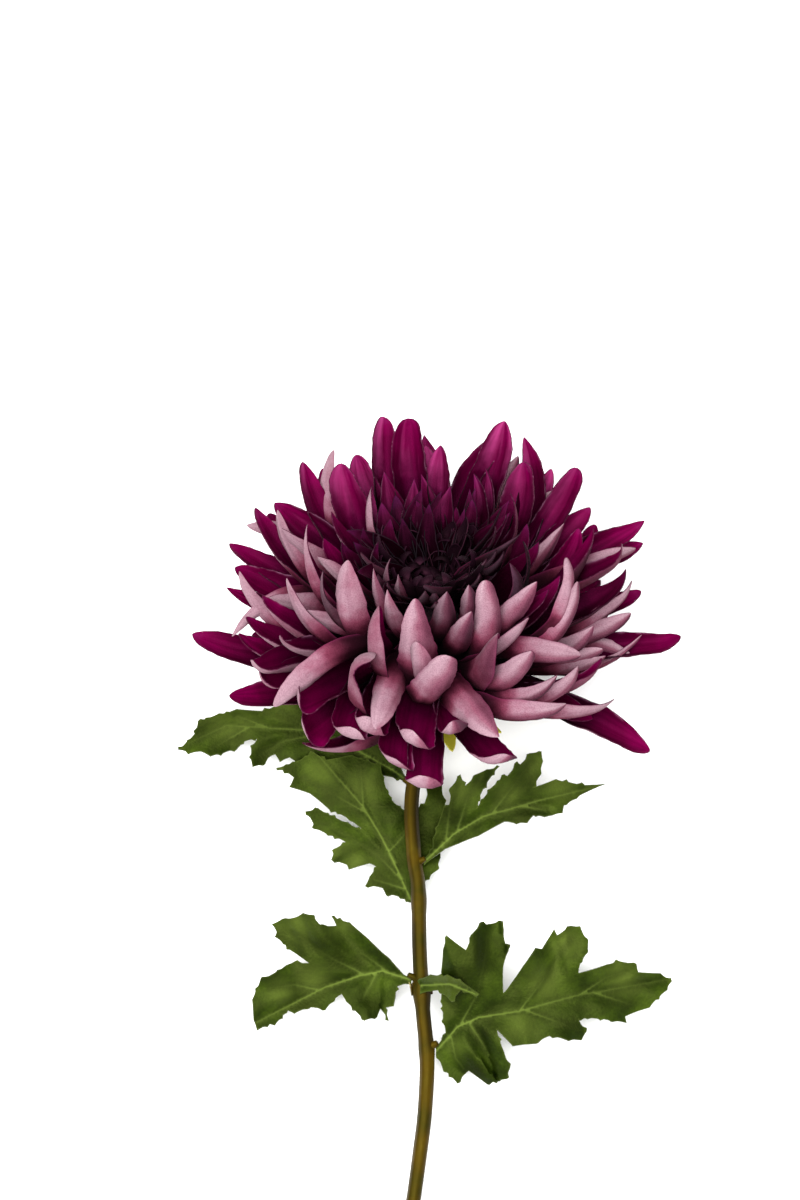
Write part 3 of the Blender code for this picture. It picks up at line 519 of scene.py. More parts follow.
# Petals seen one by one in the photo: the tip in the plane, a place about two thirds of the way there,
# width, the way the face opens (degrees round the plane, 90 is up; degrees away from the viewer), the
# hook of the tip; then how dusky the petal is, how aslant the tip is rolled in and how round it is.
seenPetals = (
    # shells in front, round the heart
    ((-27, 24.5, 44), (-26.5, 7, 38), 9.8, 20, 150, 10, 0, 0, 2.4),
    ((-19.5, 10.5, 49), (-20.5, -0.5, 44), 12.4, 0, 86, 30, 0, 0, 3.4),
    ((-7.5, 13, 50), (-5.5, -6, 45), 10.8, 90, 175, 10, 0, 0, 1.5),
    ((-5, -1, 54), (-5.5, -9.5, 46), 9.6, 20, 150, 20, 0, 0, 3),
    ((4.5, -4.5, 57), (-1.5, -14.5, 50), 11, 90, 140, 10, 0, 0, 3),
    ((16.5, 18.5, 43), (14.5, 0.5, 40), 8, 120, 170, 10, 0, 0, 2.8),
    ((15.5, 3, 48), (12.5, -5, 41), 11, 0, 82, 35, 0, 0, 3.4),
    ((10, 9, 46), (6, 0.5, 38), 7.8, 60, 150, 10, 0.1, 0, 1.3),
    ((4.5, 14.5, 46), (3, 9.5, 43), 7, 90, 170, 10, 0.55, 0, 2.4),
    ((10, 17, 41), (10, 12.5, 39), 5.8, 90, 175, 10, 0.4, 0, 2.4),
    ((13, 13.5, 41), (12.5, 8), 4.4, 90, 120, 10, 0.4),
    ((-15.5, 15.5, 45.5), (-14, 9, 42), 6, 20, 160, 10, 0.15, 0, 1.3),
    ((-19.5, 22, 38), (-18, 15, 37), 6.2, 0, 150, 10, 0.3),
    ((-11.5, 20, 36), (-11, 15), 3.8, 90, 160, 10, 0.35),
    ((-14.5, 25.5, 34), (-15.5, 18.5), 4, 0, 110, 10, 0.5),
    ((-23.5, -2, 50), (-26, -11.5, 43), 13.5, 0, 72, 95, 0, 0, 3),
    ((-17, -26, 53), (-14.5, -15, 46), 8.8, 90, 178, 0, 0, 0, 2),
    ((18.5, -27.5, 51), (8, -18, 45), 9.4, 100, 178, 10, 0, 0, 2.2),
    ((29, 18.5, 40), (20.5, 6.5, 36), 7.4, 70, 150, 10),
    ((27, 7, 44), (21, -1, 40), 7, 120, 100, 10, 0, 0, 2.6),
    ((29, -3, 50), (23.5, -10.5, 44), 9.6, 110, 132, 10, 0, 0, 2.8),
    # lower petals in front, with hooked tips
    ((5, -28.5, 44), (3.5, -20), 10, 90, 45, 150, 0, -8, 3),
    ((-7, -32, 45), (-5, -22), 10.8, 100, 45, 150, 0, 22, 3.2),
    ((-3.5, -44, 40), (-3.5, -32), 10.4, 90, 45, 170, 0, 8, 3.4),
    ((-14, -37, 38), (-11.5, -26.5), 10.2, 80, 45, 130, 0, 16, 3),
    ((-20.5, -28.5, 42), (-18, -19.5), 10.6, 70, 48, 150, 0, 16, 3),
    ((-28, -29, 38), (-24.5, -19.5), 10.6, 70, 45, 150, 0, 8, 3),
    ((-38.5, -29.5, 30), (-30.5, -20.5), 12.6, 70, 42, 100, 0, 25),
    ((-41, -30.5, 25), (-30, -33), 9.6, 90, 78, 10),
    ((-42.5, -18.5, 37), (-32.5, -14.5), 12, 75, 40, 110, 0, 20),
    ((-49, -19, 37), (-37, -9.5, 40), 8.8, 90, 142, 0, 0, 0, 1.3),
    ((17.5, -38, 34), (11.5, -30), 11, 100, 45, 140, 0, 26, 3),
    ((8, -18, 40), (6, -15), 9, 90, 60, 10, 0.3),
    # left side
    ((-63, -15.5, 12), (-46.5, -17), 9.6, 90, 34, 10),
    ((-75.5, 0, 2), (-60, -4), 9.4, 90, 26, 10),
    ((-61, 1.5, 8), (-50.5, -5), 8.8, 80, 54, 10),
    ((-58.5, 6.5, 16), (-48, -1.5), 9.6, 75, 58, 10),
    ((-53, 13.5, 27), (-44, 3.5), 10.2, 70, 55, 10),
    ((-46, 19, 30), (-38.5, 4, 26), 6.4, 40, 112, 10),
    ((-42, 9, 28), (-32.5, 4.5), 7.6, 80, 130, 0, 0.1),
    ((-61, 21, 8), (-54.5, 9.5), 5, 60, 140, 10),
    ((-63, 2, 8), (-55.5, 9), 4.4, 60, 150, 0, 0, 0, 1.2),
    ((-64, 17, -2), (-53.5, 11.5), 7.4, 90, 30, 10, 0, 0, 1.2),
    ((-62.5, 20, 2), (-51, 16), 9.4, 90, 25, 20),
    ((-51.5, 12, 14), (-40, 10), 7.6, 90, 145, 0, 0.1),
    ((-63, 30.5, -4), (-53, 22.5), 9, 80, 40, 10),
    ((-57, 40, 4), (-49, 27.5), 9.2, 45, 50, 10),
    ((-58.5, 35.5, -10), (-49, 33), 7.4, 90, 150, 0),
    ((-48, 43.5, -2), (-41, 35.5), 10.4, 60, 20, 20),
    ((-48.5, 40, 8), (-45.5, 29.5), 5.8, 60, 130, 10, 0.1),
    ((-47, 34.5, 10), (-40.5, 28), 6.4, 60, 140, 0, 0.15),
    ((-39.5, 35.5, 24), (-38, 18, 20), 8.6, 10, 92, 10, 0, 0, 1.3),
    ((-35, 26, 26), (-30, 20), 6, 45, 140, 0),
    ((-35, 31, 20), (-30.5, 23), 7.4, 60, 30, 10, 0.1),
    ((-31.5, 40, 14), (-27.5, 29.5), 8, 25, 55, 10, 0.2),
    # top
    ((-42, 55, -6), (-38, 42), 8.8, 15, 38, 10),
    ((-31.5, 59, -8), (-35, 43.5), 7.6, 0, 125, 10),
    ((-35.5, 53.5, -14), (-35, 46.5), 6, 0, 20, 0),
    ((-26, 54, 4), (-26, 39.5), 10.8, 75, 20, 20, 0, 0, 2.6),
    ((-25.5, 57, -6), (-21.5, 45.5), 9.2, 90, 10, 10, 0, 0, 2.4),
    ((-20, 47.5, 8), (-21, 38), 7.6, 0, 82, 10),
    ((-15.5, 69, -8), (-16.5, 52.5), 9, 0, 20, 10, 0, 0, 2.6),
    ((-10.5, 68, 2), (-8.5, 52.5), 10.4, 90, 5, 14, 0, 0, 3),
    ((-3, 60, -4), (-1.5, 48), 8.4, 90, 5, 14, 0, 0, 2.4),
    ((1.5, 60, 2), (1, 48), 8, 180, 25, 14, 0, 0, 2.4),
    ((20.5, 64.5, -6), (11.5, 49.5), 9, 180, 30, 10, 0, 0, 2.6),
    ((23.5, 66.5, -1), (16.5, 49.5), 11, 180, 14, 16, 0, 0, 2.6),
    ((25.5, 57, -8), (22, 46.5), 7.6, 180, 140, 0),
    ((28, 63, -10), (30, 50, -6), 8.6, 90, 10, 10, 0, 0, 1.3),
    ((29, 55, -2), (27.5, 43.5), 11, 180, 35, 14, 0, 0, 3),
    ((35, 53, -8), (32, 43.5), 7, 90, 10, 20),
    ((37, 46.5, -6), (32, 41), 6.6, 120, 140, 0),
    ((44.5, 52.5, 0), (36, 38), 8.4, 100, 14, 20, 0, 0, 2.8),
    ((38.5, 36.5, 6), (34.5, 29.5), 5, 100, 150, 0, 0.2),
    # short petals behind the heart
    ((-13.5, 52, 6), (-13, 42.5), 9.8, 90, 10, 10, 0.5),
    ((-8.5, 49.5, 8), (-7.5, 41), 9.2, 90, 10, 10, 0.55),
    ((-5.5, 47, 11), (-7, 38.5), 8.2, 90, 10, 10, 0.85),
    ((-3.5, 51.5, 6), (-2, 43.5), 8.8, 90, 10, 10, 0.55),
    ((-3, 42, 13), (-3, 34.5), 7, 90, 10, 10, 0.9),
    ((4.5, 47.5, 8), (2.5, 38.5), 8.5, 180, 20, 10, 0.65),
    ((12.5, 51.5, 6), (14.5, 42), 8.5, 180, 40, 10, 0.55),
    ((17, 53, 4), (17, 44), 6.8, 180, 40, 10, 0.45),
    ((11.5, 46.5, 9), (10.5, 38.5), 6, 90, 20, 10, 0.85),
    ((8, 41, 12), (7, 34), 6.2, 90, 20, 10, 0.85),
    ((21, 44, 8), (18, 37), 8.2, 120, 20, 10, 0.75),
    ((23.5, 45, 12), (24.5, 36.5), 8.5, 180, 80, 10, 0.35),
    ((23.5, 38, 16), (18.5, 33.5), 8.5, 120, 20, 10, 0.7),
    ((27.5, 36, 14), (26, 29.5), 6.8, 180, 20, 10, 0.65),
    ((31, 30.5, 22), (28, 24.5), 9, 180, 45, 10, 0.4),
    ((-10, 38, 13), (-9, 31), 8.2, 90, 10, 10, 0.95),
    ((-12.5, 37, 15), (-14, 31), 6.8, 60, 20, 10, 0.75),
    ((-18, 42, 11), (-15.5, 34.5), 9, 60, 15, 10, 0.75),
    ((-23.5, 34.5, 18), (-21.5, 27.5), 8.2, 60, 15, 10, 0.85),
    ((-18, 30.5, 24), (-19.5, 24.5), 7.2, 30, 50, 10, 0.7),
    ((-28, 31, 18), (-26, 24.5), 8.8, 30, 40, 10, 0.7),
    # right side
    ((46.5, 41.5, -2), (39, 32), 8.6, 100, 14, 20),
    ((45, 34, 6), (42, 27.5), 6.8, 100, 20, 10),
    ((47.5, 34.5, 14), (45, 25), 7.8, 170, 68, 10),
    ((39.5, 26, 35), (39.5, 13, 38), 5.2, 150, 128, 25, 0, 0, 3.2),
    ((44, 17.5, 35), (39, 5, 36), 6.8, 135, 125, 20, 0, 0, 3),
    ((33, 16.5, 36), (26, 8.5), 7.4, 110, 35, 10, 0.35),
    ((37.5, 19.5, 30), (29, 9), 8.6, 110, 30, 10, 0.25),
    ((51, 35, -8), (47.5, 29.5), 6.8, 100, 20, 0),
    ((63, 38, -2), (52, 30), 9.2, 100, 16, 30, 0, 0, 1.6),
    ((63, 31, -6), (52, 25.5), 8.8, 90, 20, 30),
    ((61.5, 27.5, 8), (51.5, 23), 9.6, 100, 118, 0),
    ((59.5, 20.5, 12), (49, 11), 11, 100, 48, 40, 0.45),
    ((61.5, 17, 8), (54, 9.5), 8.4, 100, 95, 30),
    ((63, 15.5, -4), (53.5, 10.5), 7, 90, 25, 10),
    ((60, 7.5, 8), (51, 2.5), 8.2, 100, 140, 20),
    ((59.5, -5.5, 4), (51.5, -2), 7.2, 90, 175, 0, 0, 0, 1.2),
    ((75, 0.5, 4), (62.5, -2), 8, 100, 32, 40),
    ((63, 2, 6), (59.5, -1.5), 2.8, 90, 150, 0, 0, 0, 1.1),
    ((43.5, -4.5, 34), (29, -4.5, 36), 9, 90, 140, 20, 0, 0, 2.6),
    ((47.5, 4, 26), (42, -1.5), 8, 100, 140, 20, 0, 0, 1.4),
    ((51, -3.5, 22), (42.5, -6), 6.6, 90, 135, 10),
    ((51.5, -5, 20), (42, -8.5), 6.6, 90, 125, 10),
    ((51, -6, 20), (43.5, -13, 22), 8.4, 110, 78, 20),
    ((43.5, -8, 30), (38, -14.5, 30), 7.2, 100, 125, 30),
    ((37, -11.5, 36), (28, -17, 36), 8.6, 95, 130, 20, 0, 0, 1.5),
    ((39, -18.5, 38), (25, -22.5, 38), 9.2, 90, 128, 25, 0, 0, 2.2),
    ((54.5, -18, 21), (42.5, -22.5, 22), 8, 95, 105, 20),
    ((48, -22, 14), (40, -20.5), 8, 90, 30, 10),
    ((65.5, -32, 16), (50.5, -26.5), 9.6, 90, 34, 10),
)

# Petals under the back of the bloom that lie on the table: turn, lean, reach, width, bend.
footPetals = ((46, 111, 66, 10.5, -16), (134, 111, 66, 10.5, -16))


def onePetal(tip, width, bend=0, roll=0, curl=0, sweep=0, **more):
    petal = {"tip": tip, "base": bloomMiddle, "root": petalBend["root"], "width": width, "dusk": 0.0}
    petal.update(cup=petalShape["cup"], hook=0, slant=0, via=None)
    petal.update(tipPower=petalShape["tipPower"], tipRound=petalShape["tipRound"])
    petal.update(more, bend=bend, roll=roll, curl=curl, sweep=sweep)
    for angle in ("bend", "roll", "curl", "sweep", "cup", "hook", "slant"):
        petal[angle] = math.radians(petal[angle])
    return petal


def tipForm(dusk, hook, roundness=None):
    # the dusky petals round the heart are more pointed, and hooked tips blunter, than the others
    blunt = smooth((hook - petalBend["bluntFrom"]) / petalBend["bluntSpan"])
    dark = smooth(dusk * petalBend["duskFull"])
    if roundness is None:
        roundness = petalShape["tipRound"] - petalBend["duskRound"] * dark + petalBend["bluntRound"] * blunt
    power = petalShape["tipPower"] + petalBend["duskPower"] * dark - petalBend["bluntPower"] * blunt
    power *= min(1.0, petalShape["tipRound"] / roundness)
    return {"dusk": dusk, "hook": hook, "tipRound": roundness, "tipPower": power}


def rolledIn(hook):
    # how far the rolled part of a petal falls short of its length
    hook = max(math.radians(hook), 0.01)
    return petalShape["rollLength"] * (1 - math.sin(min(hook, math.pi / 2)) / hook)


def seenPetal(tip, via, width, opening, turnedAway, hook, dusk=0.0, slant=0, roundness=None):
    # a petal whose line goes through a place read off the photo and whose face opens a given way there
    if len(via) == 2:
        level = math.hypot(*via)
        depth = tip[2] * min(1.0, level / math.hypot(*tip[:2]))
        arched = (petalBend["viaReach"] * Vector(tip).length) ** 2 - level ** 2
        if tip[2] > petalBend["archedFrom"] and arched > depth ** 2:
            depth = math.sqrt(arched)
        via = (*via, depth)
    opening, turnedAway = math.radians(opening), math.radians(turnedAway)
    sideways = planeRight * math.cos(opening) + planeUp * math.sin(opening)
    face = planeOut * math.cos(turnedAway) + sideways * math.sin(turnedAway)
    via, tip = planePoint(*via), planePoint(*tip)
    tip += (tip - via).normalized() * rolledIn(hook)
    return onePetal(tip, width, via=via, face=face, slant=slant, **tipForm(dusk, hook, roundness))


def seenLine(petal):
    # a smooth line from the root through the place on the way to the tip, the face kept square to it
    base, via, tip = petal["base"], petal["via"], petal["tip"]
    start = base + (via - base).normalized() * petal["root"]
    share = (via - start).length / ((via - start).length + (tip - via).length)
    pull = (via - start * (1 - share) ** 2 - tip * share ** 2) / (2 * share * (1 - share))
    steps = petalBend["steps"]
    places, aheads, inners = [], [], []
    for step in range(steps + 1):
        along = step / steps
        ahead = ((pull - start) * (1 - along) + (tip - pull) * along).normalized()
        places.append(start * (1 - along) ** 2 + pull * 2 * along * (1 - along) + tip * along ** 2)
        aheads.append(ahead)
        inners.append((petal["face"] - ahead * petal["face"].dot(ahead)).normalized())
    return np.array(places), np.array(aheads), np.array(inners)


def petalLine(petal):
    # middle line from root to tip as in the CAD: places, the direction ahead and that of the inner face
    if petal["via"]:
        return seenLine(petal)
    chord = petal["tip"] - petal["base"]
    up = chord.dot(bloomAxis)
    spread = chord - bloomAxis * up
    away = spread.normalized()
    aside = bloomAxis.cross(away)
    lean = math.atan2(spread.length, up)
    half = petal["bend"] / 2
    straight = math.sin(half) / half if abs(half) > 0.001 else 1.0
    length = (chord.length - petal["root"]) / straight
    point = petal["base"] + chord.normalized() * petal["root"]
    places, aheads, inners = [], [], []
    steps = petalBend["steps"]
    for step in range(steps + 1):
        along = step / steps
        curl = petal["curl"] * smooth((along - petalBend["curlStart"]) / (1 - petalBend["curlStart"]))
        turned = smooth((along - petalBend["bendStart"]) / petalBend["bendSpan"])
        angle = lean + petal["bend"] * (0.5 - turned) - curl
        aslant = petal["sweep"] * (along - 0.5)
        flat = bloomAxis * math.cos(angle) + away * math.sin(angle)
        ahead = flat * math.cos(aslant) + aside * math.sin(aslant)
        inner = bloomAxis * math.sin(angle) - away * math.cos(angle)
        roll = petal["roll"] * (petalBend["rootRoll"] + (1 - petalBend["rootRoll"]) * along)
        places.append(point.copy())
        aheads.append(ahead)
        inners.append(Quaternion(ahead, roll) @ inner)
        point = point + ahead * (length / steps)
    miss = petal["tip"] - places[-1]
    for step, place in enumerate(places):
        along = step / steps
        place += miss * along ** 2
        place += inners[step] * petalBend["belly"] * petal["width"] / 10 * (along ** 3 - along)
    return np.array(places), np.array(aheads), np.array(inners)


def rollTip(points, tip, ahead, inner, petal, rollLength):
    # rolls the end of a petal in towards its inner face, round a line that can lie aslant
    hook = petal["hook"]
    if hook < 0.05:
        return points
    side = np.cross(ahead, inner)
    forward = ahead * math.cos(petal["slant"]) + side * math.sin(petal["slant"])
    radius = rollLength / hook
    rolled = (points - tip) @ forward + rollLength
    height = (points - tip) @ inner
    turned = np.clip(rolled, 0, None) / radius
    moved = (radius - height) * np.sin(turned) - np.clip(rolled, 0, None)
    lifted = radius - (radius - height) * np.cos(turned) - height
    return points + np.outer(moved, forward) + np.outer(lifted, inner)


def outlineShare(along, shape, tipPower, tipRound):
    # half width from root to tip as a share of the greatest
    grown = np.clip(along / shape["grown"], 0, 1)
    swell = shape["rootShare"] + (1 - shape["rootShare"]) * grown * grown * (3 - 2 * grown)
    over = np.clip((along - shape["widest"]) / (1 - shape["widest"]), 0, 1)
    return swell * (1 - over ** tipRound) ** tipPower


def petalBlank(name, shape):
    # one flat petal cut from a grid: x from edge to edge, y from root to tip, kept as across and along
    bpy.ops.mesh.primitive_grid_add(x_subdivisions=shape["columns"], y_subdivisions=shape["rows"], size=2)
    blank = bpy.context.object
    blank.name = name
    for carried in ("along", "across", "tone", "dusk", "paintedShade", "paintedSheenAmount"):
        blank.data.attributes.new(carried, "FLOAT", "POINT")
    along, across = blank.data.attributes["along"], blank.data.attributes["across"]
    for vertex in blank.data.vertices:
        row = (vertex.co.y + 1) / 2
        place = 1 - (1 - row) ** shape["crowding"]
        along.data[vertex.index].value = place
        across.data[vertex.index].value = vertex.co.x
        vertex.co = (vertex.co.x * (place < 1), place, 0)
    bpy.ops.object.mode_set(mode="EDIT")
    bpy.ops.mesh.select_all(action="SELECT")
    bpy.ops.mesh.remove_doubles(threshold=0.0005)
    bpy.ops.object.mode_set(mode="OBJECT")
    return blank


def readValues(mesh, name):
    values = np.empty(len(mesh.vertices))
    mesh.attributes[name].data.foreach_get("value", values)
    return values


def channel(across, cup, keel, parts=16):
    # sideways and raised place on a channelled cross-section, for a place across from -1 to 1
    steps = (np.arange(parts) + 0.5) / parts
    angle = cup[:, None] * (1 - (1 - np.abs(across)[:, None] * steps) ** keel)
    return across * np.cos(angle).mean(1), np.abs(across) * np.sin(angle).mean(1)


def petalSection(petal, shape, along, across, chance):
    # how far each place of a channelled, grooved and slightly uneven petal lies to the side and raised
    waves = petalWaves
    uneven = shape["uneven"]
    flatter = 1 - shape["hookFlat"] * smooth(petal["hook"] - petalBend["flatFrom"])
    cup = petal["cup"] * chance.uniform(1 - uneven, 1 + uneven) * np.interp(
        along, (0, *waves["evenCup"], 1), (shape["cupAtRoot"], 1, 1, shape["cupAtTip"] * flatter),
    )
    half = petal["width"] / 2 * shape["unrolled"] * chance.uniform(1 - uneven / 2, 1 + uneven / 2)
    tipPower = petal["tipPower"] * chance.uniform(*petalShape["tipDraws"])
    share = outlineShare(along, shape, tipPower, petal["tipRound"])
    sideways, raised = channel(across * share, cup, shape["keel"])
    sideways, raised = sideways * half, raised * half
    end, fullness = waves["belly"]
    belly = np.sin(math.pi * np.clip(along * end, 0, 1)) ** fullness
    phase = chance.uniform(0, math.tau)
    grooves = shape["grooves"] * chance.uniform(*waves["grooveDraws"])
    groove = np.cos(across * math.pi * waves["grooves"] + waves["grooveShift"] * math.sin(phase))
    raised += grooves * groove * (1 - across ** 2) * belly
    long, short, amount = waves["ripple"]
    wander = np.sin(along * long + phase + across) + amount * np.sin(along * short + 2 * phase)
    raised += shape["ripple"] * np.abs(across) ** 3 * wander * belly
    atRoot, atTip, wave = waves["swell"]
    swell = (atRoot + atTip * along ** 4) * np.sin(along * wave + phase * 3 + across)
    sideways *= 1 + swell * np.abs(across) ** 2
    short, long = waves["ragged"]
    torn = np.sin(along * short + phase * 5) * np.sin(along * long + phase * 2 + across)
    sideways *= 1 + shape["ragged"] * torn
    wave, crosswise = waves["dent"]
    dented = np.sin(along * wave + phase * 4) * np.cos(across * crosswise + phase * 7)
    raised += shape["dent"] * dented * belly
    towardsTip = np.clip((along - waves["skewFrom"]) / (1 - waves["skewFrom"]), 0, 1) ** waves["skewPower"]
    sideways += half * shape["skew"] * chance.uniform(-1, 1) * towardsTip
    return sideways, raised


def paintPetal(mesh, petal, side, along, across, tone):
    # what the cloths read: tone and dusk of the petal, its painted sheen, and its painted shade on the side
    # away from the light and at the root
    right, up = petal["tip"].dot(planeRight), petal["tip"].dot(planeUp)
    least, more = petalPaintedLight["paintedSheen"]
    paintedSheenAmount = np.clip((up - petalPaintedLight["paintedSheenFrom"]) / petalPaintedLight["paintedSheenSpan"], 0, 1) * (least + more * tone)
    hanging = math.copysign(1, side.mean(0) @ np.array(planeRight - planeUp * petalPaintedLight["hanging"]))
    middle, span, lowest = petalPaintedLight["right"]
    further = float(np.clip(middle + right / span, lowest, 1))
    over, fade = petalPaintedLight["beside"]
    least, more = petalPaintedLight["strength"]
    beside = np.clip((across * hanging + over) / fade, 0, 1) * (least + more * tone) * further
    reach, fade = petalPaintedLight["paintedRootShade"]
    paintedRootShade = np.clip((reach - along) / fade, 0, 1)
    painted = {"tone": tone, "dusk": petal["dusk"], "paintedSheenAmount": paintedSheenAmount, "paintedShade": np.maximum(beside, paintedRootShade)}
    for name, value in painted.items():
        mesh.attributes[name].data.foreach_set("value", np.full(len(mesh.vertices), value))


def bendPetal(blank, petal, shape, chance):
    # copies the blank and lays it along the petal's middle line
    made = blank.copy()
    made.data = blank.data.copy()
    bpy.context.scene.collection.objects.link(made)
    along, across = readValues(made.data, "along"), readValues(made.data, "across")
    lines = petalLine(petal)
    stations = np.linspace(0, 1, len(lines[0]))
    middle, ahead, inner = (
        np.stack([np.interp(along, stations, rows[:, axis]) for axis in range(3)], 1) for rows in lines
    )
    ahead /= np.linalg.norm(ahead, axis=1)[:, None]
    side = np.cross(ahead, inner)
    side /= np.linalg.norm(side, axis=1)[:, None]
    inner = np.cross(side, ahead)
    sideways, raised = petalSection(petal, shape, along, across, chance)
    points = middle + side * sideways[:, None] + inner * raised[:, None]
    points = rollTip(points, *(rows[-1] for rows in lines), petal, shape["rollLength"])
    points = offTable(points, along, shape)
    made.data.vertices.foreach_set("co", ((points + np.array(shift)) * toMetres).ravel())
    paintPetal(made.data, petal, side, along, across, chance.random())
    return made


def offTable(points, along, shape):
    # lifts each row of a petal until it lies on the table, as the CAD does
    points = points.copy()
    for place in np.unique(along):
        row = along == place
        low = points[row, 2].min() - shape["thickness"]
        points[row, 2] += (low + math.hypot(low, petalBend["tableEase"])) / 2 - low
    return points


def clothPiece(name, blank, petals, shape, materials, seed):
    chance = random.Random(seed)
    copies = [bendPetal(blank, petal, shape, chance) for petal in petals]
    keepSelected(*copies)
    bpy.ops.object.join()
    piece = copies[0]
    piece.name = piece.data.name = name
    for material in materials:
        piece.data.materials.append(material)
    applyModifier(
        piece, "SOLIDIFY", thickness=shape["thickness"] * toMetres, offset=-1,
        material_offset=1, material_offset_rim=2,
    )
    return piece


def hookFor(tip, chance):
    # the lower petals in front hook up most at their tips, the upper ones least
    least, more, draw = layerDraws["hook"]
    start, span = layerDraws["hookDrop"]
    drop = -(tip - bloomMiddle).normalized().dot(planeUp)
    return least + more * smooth((drop - start) / span) + chance.uniform(-draw, draw)


def allPetals():
    petals = []
    hooks = random.Random(seeds["hooks"])
    for row in seenPetals:
        petals.append(seenPetal(*row))
    for turn, lean, reach, width, bend in footPetals:
        petals.append(onePetal(bloomMiddle + bloomDirection(lean, turn) * reach, width, bend))
    bare = [(planePoint(x, y, z) - bloomMiddle, angle) for x, y, z, angle in barePlaces]
    bare += [(other["tip"] - bloomMiddle, layerDraws["clearance"]) for other in petals]
    chance = random.Random(seeds["layers"])
    duskFrom, duskSpan = layerDraws["dusk"]
    for layer, (count, lean, reach, bend, width, curl) in enumerate(petalLayers):
        dusk = min(max(0.0, (layer - duskFrom) / duskSpan), 1.0)
        for place in range(count):
            shifted = place + chance.uniform(-1, 1) * layerDraws["turn"]
            turn = shifted * (360 / count) + layer * goldenTurn
            leaned = lean + chance.uniform(-1, 1) * layerDraws["lean"]
            reached = reach * (1 + chance.uniform(-1, 1) * layerDraws["reach"])
            roll = chance.uniform(-1, 1) * layerDraws["roll"]
            sweep = chance.uniform(-1, 1) * layerDraws["sweep"]
            curled = curl * chance.uniform(*layerDraws["curl"])
            bent = bend * (1 - layerDraws["frontBend"] * math.sin(math.radians(turn)))
            direction = bloomDirection(leaned, turn)
            if all(math.degrees(direction.angle(other)) > angle for other, angle in bare):
                tip = bloomMiddle + direction * reached
                form = tipForm(dusk, hookFor(tip, hooks))
                petals.append(onePetal(tip, width, bent, roll, curled, sweep, **form))
    return petals


def makePetals(pieces=3):
    # the petals are shared out over a few pieces, so that none is too heavy
    blank = petalBlank("petalBlank", petalShape)
    petals = allPetals()
    print("petals:", len(petals))
    most = math.ceil(len(petals) / pieces)
    for number in range(pieces):
        some = petals[number * most:(number + 1) * most]
        seed = seeds["petals"] + number
        piece = clothPiece(f"petals_{number + 1}", blank, some, petalShape, petalCloths, seed)
        settle(piece, "bloom_petals", 60)
    bpy.data.objects.remove(blank)


makePetals()


# Heart

floretShape = {
    "rows": 12,
    "columns": 6,
    "crowding": 1.4,
    "rootShare": 0.5,
    "grown": 0.5,
    "widest": 0.5,
    "thickness": 0.3,
    "unrolled": 1.25,
    "cupAtRoot": 1.2,
    "cupAtTip": 0.9,
    "keel": 1.5,
    "uneven": 0.15,
    "grooves": 0.12,
    "ragged": 0.03,
    "dent": 0.1,
    "ripple": 0.2,
    "skew": 0.6,
    "hookFlat": 0.3,
    "rollLength": 7.0,
}
heartShape = {
    "root": 1.5,
    "middle": 13.8,         # where the florets start on the bloom's axis
    "cup": 62,
    "turn": 16,             # degrees to either side; the rest are shares or degrees
    "spread": 0.16,
    "height": 0.07,
    "width": (0.75, 1.15),
    "roll": 55,
    "sweep": 22,
    "hook": 0.6,
}

# Tiers of florets: count, distance of the tips from the axis, their height, bend inwards, width, hook.
heartRings = {
    "heartCollar": {
        "tiers": ((15, 24.5, 40.0, -6, 9.6, 10), (15, 21.5, 38.0, 0, 8.8, 20)),
        "dusk": (0.65, 1.0),
        "tips": {"tipPower": 0.9, "tipRound": 1.15},
        "cloths": petalCloths,
    },
    "heartFlorets": {
        "tiers": (
            (13, 19.5, 36.0, 0, 7.0, 40),
            (13, 17.0, 33.5, 4, 6.4, 60),
            (12, 14.0, 31.5, 8, 6.0, 90),
            (11, 11.0, 29.5, 12, 5.4, 120),
            (10, 8.2, 28.0, 18, 5.0, 140),
            (8, 5.4, 27.0, 26, 4.6, 150),
            (5, 2.6, 26.4, 30, 4.2, 150),
        ),
        "dusk": (0.8, 1.0),
        "tips": {"tipPower": 0.8},
        "cloths": heartCloths,
    },
}


def tierFlorets(ring, chance):
    base = onAxis(heartShape["middle"])
    florets = []
    for tier, (count, spread, height, bend, width, hook) in enumerate(ring["tiers"]):
        for place in range(count):
            turn = 360 * place / count + tier * goldenTurn + chance.uniform(-1, 1) * heartShape["turn"]
            reached = spread * (1 + chance.uniform(-1, 1) * heartShape["spread"])
            raised = height * (1 + chance.uniform(-1, 1) * heartShape["height"])
            wide = width * chance.uniform(*heartShape["width"])
            roll = chance.uniform(-1, 1) * heartShape["roll"]
            sweep = chance.uniform(-1, 1) * heartShape["sweep"]
            hooked = hook * (1 + chance.uniform(-1, 1) * heartShape["hook"])
            tip = onAxis(raised) + outward(math.radians(turn)) * reached
            florets.append(onePetal(
                tip, wide, bend, roll, sweep=sweep, hook=hooked, dusk=chance.uniform(*ring["dusk"]),
                base=base, root=heartShape["root"], cup=heartShape["cup"], **ring["tips"],
            ))
    return florets


def makeHeart():
    blank = petalBlank("floretBlank", floretShape)
    chance = random.Random(seeds["heart"])
    for name, ring in heartRings.items():
        florets = tierFlorets(ring, chance)
        piece = clothPiece(name, blank, florets, floretShape, ring["cloths"], seeds[name])
        settle(piece, "bloom_heart", 60)
    bpy.data.objects.remove(blank)


makeHeart()


# The receptacle under the petals and the calyx's cup, turned round the bloom's axis: height and radius

turnedShapes = {
    "receptacle": (
        (-8.0, 9.0), (-6.0, 9.8), (-2.0, 11.0), (2.0, 11.0), (6.0, 9.4), (9.0, 7.0), (14.0, 6.2), (18.5, 3.4),
    ),
    "cup": ((-8.3, 9.0), (-9.8, 9.0), (-11.6, 7.2), (-12.8, 4.8), (-14.0, 3.6)),
    "sides": 48,
}


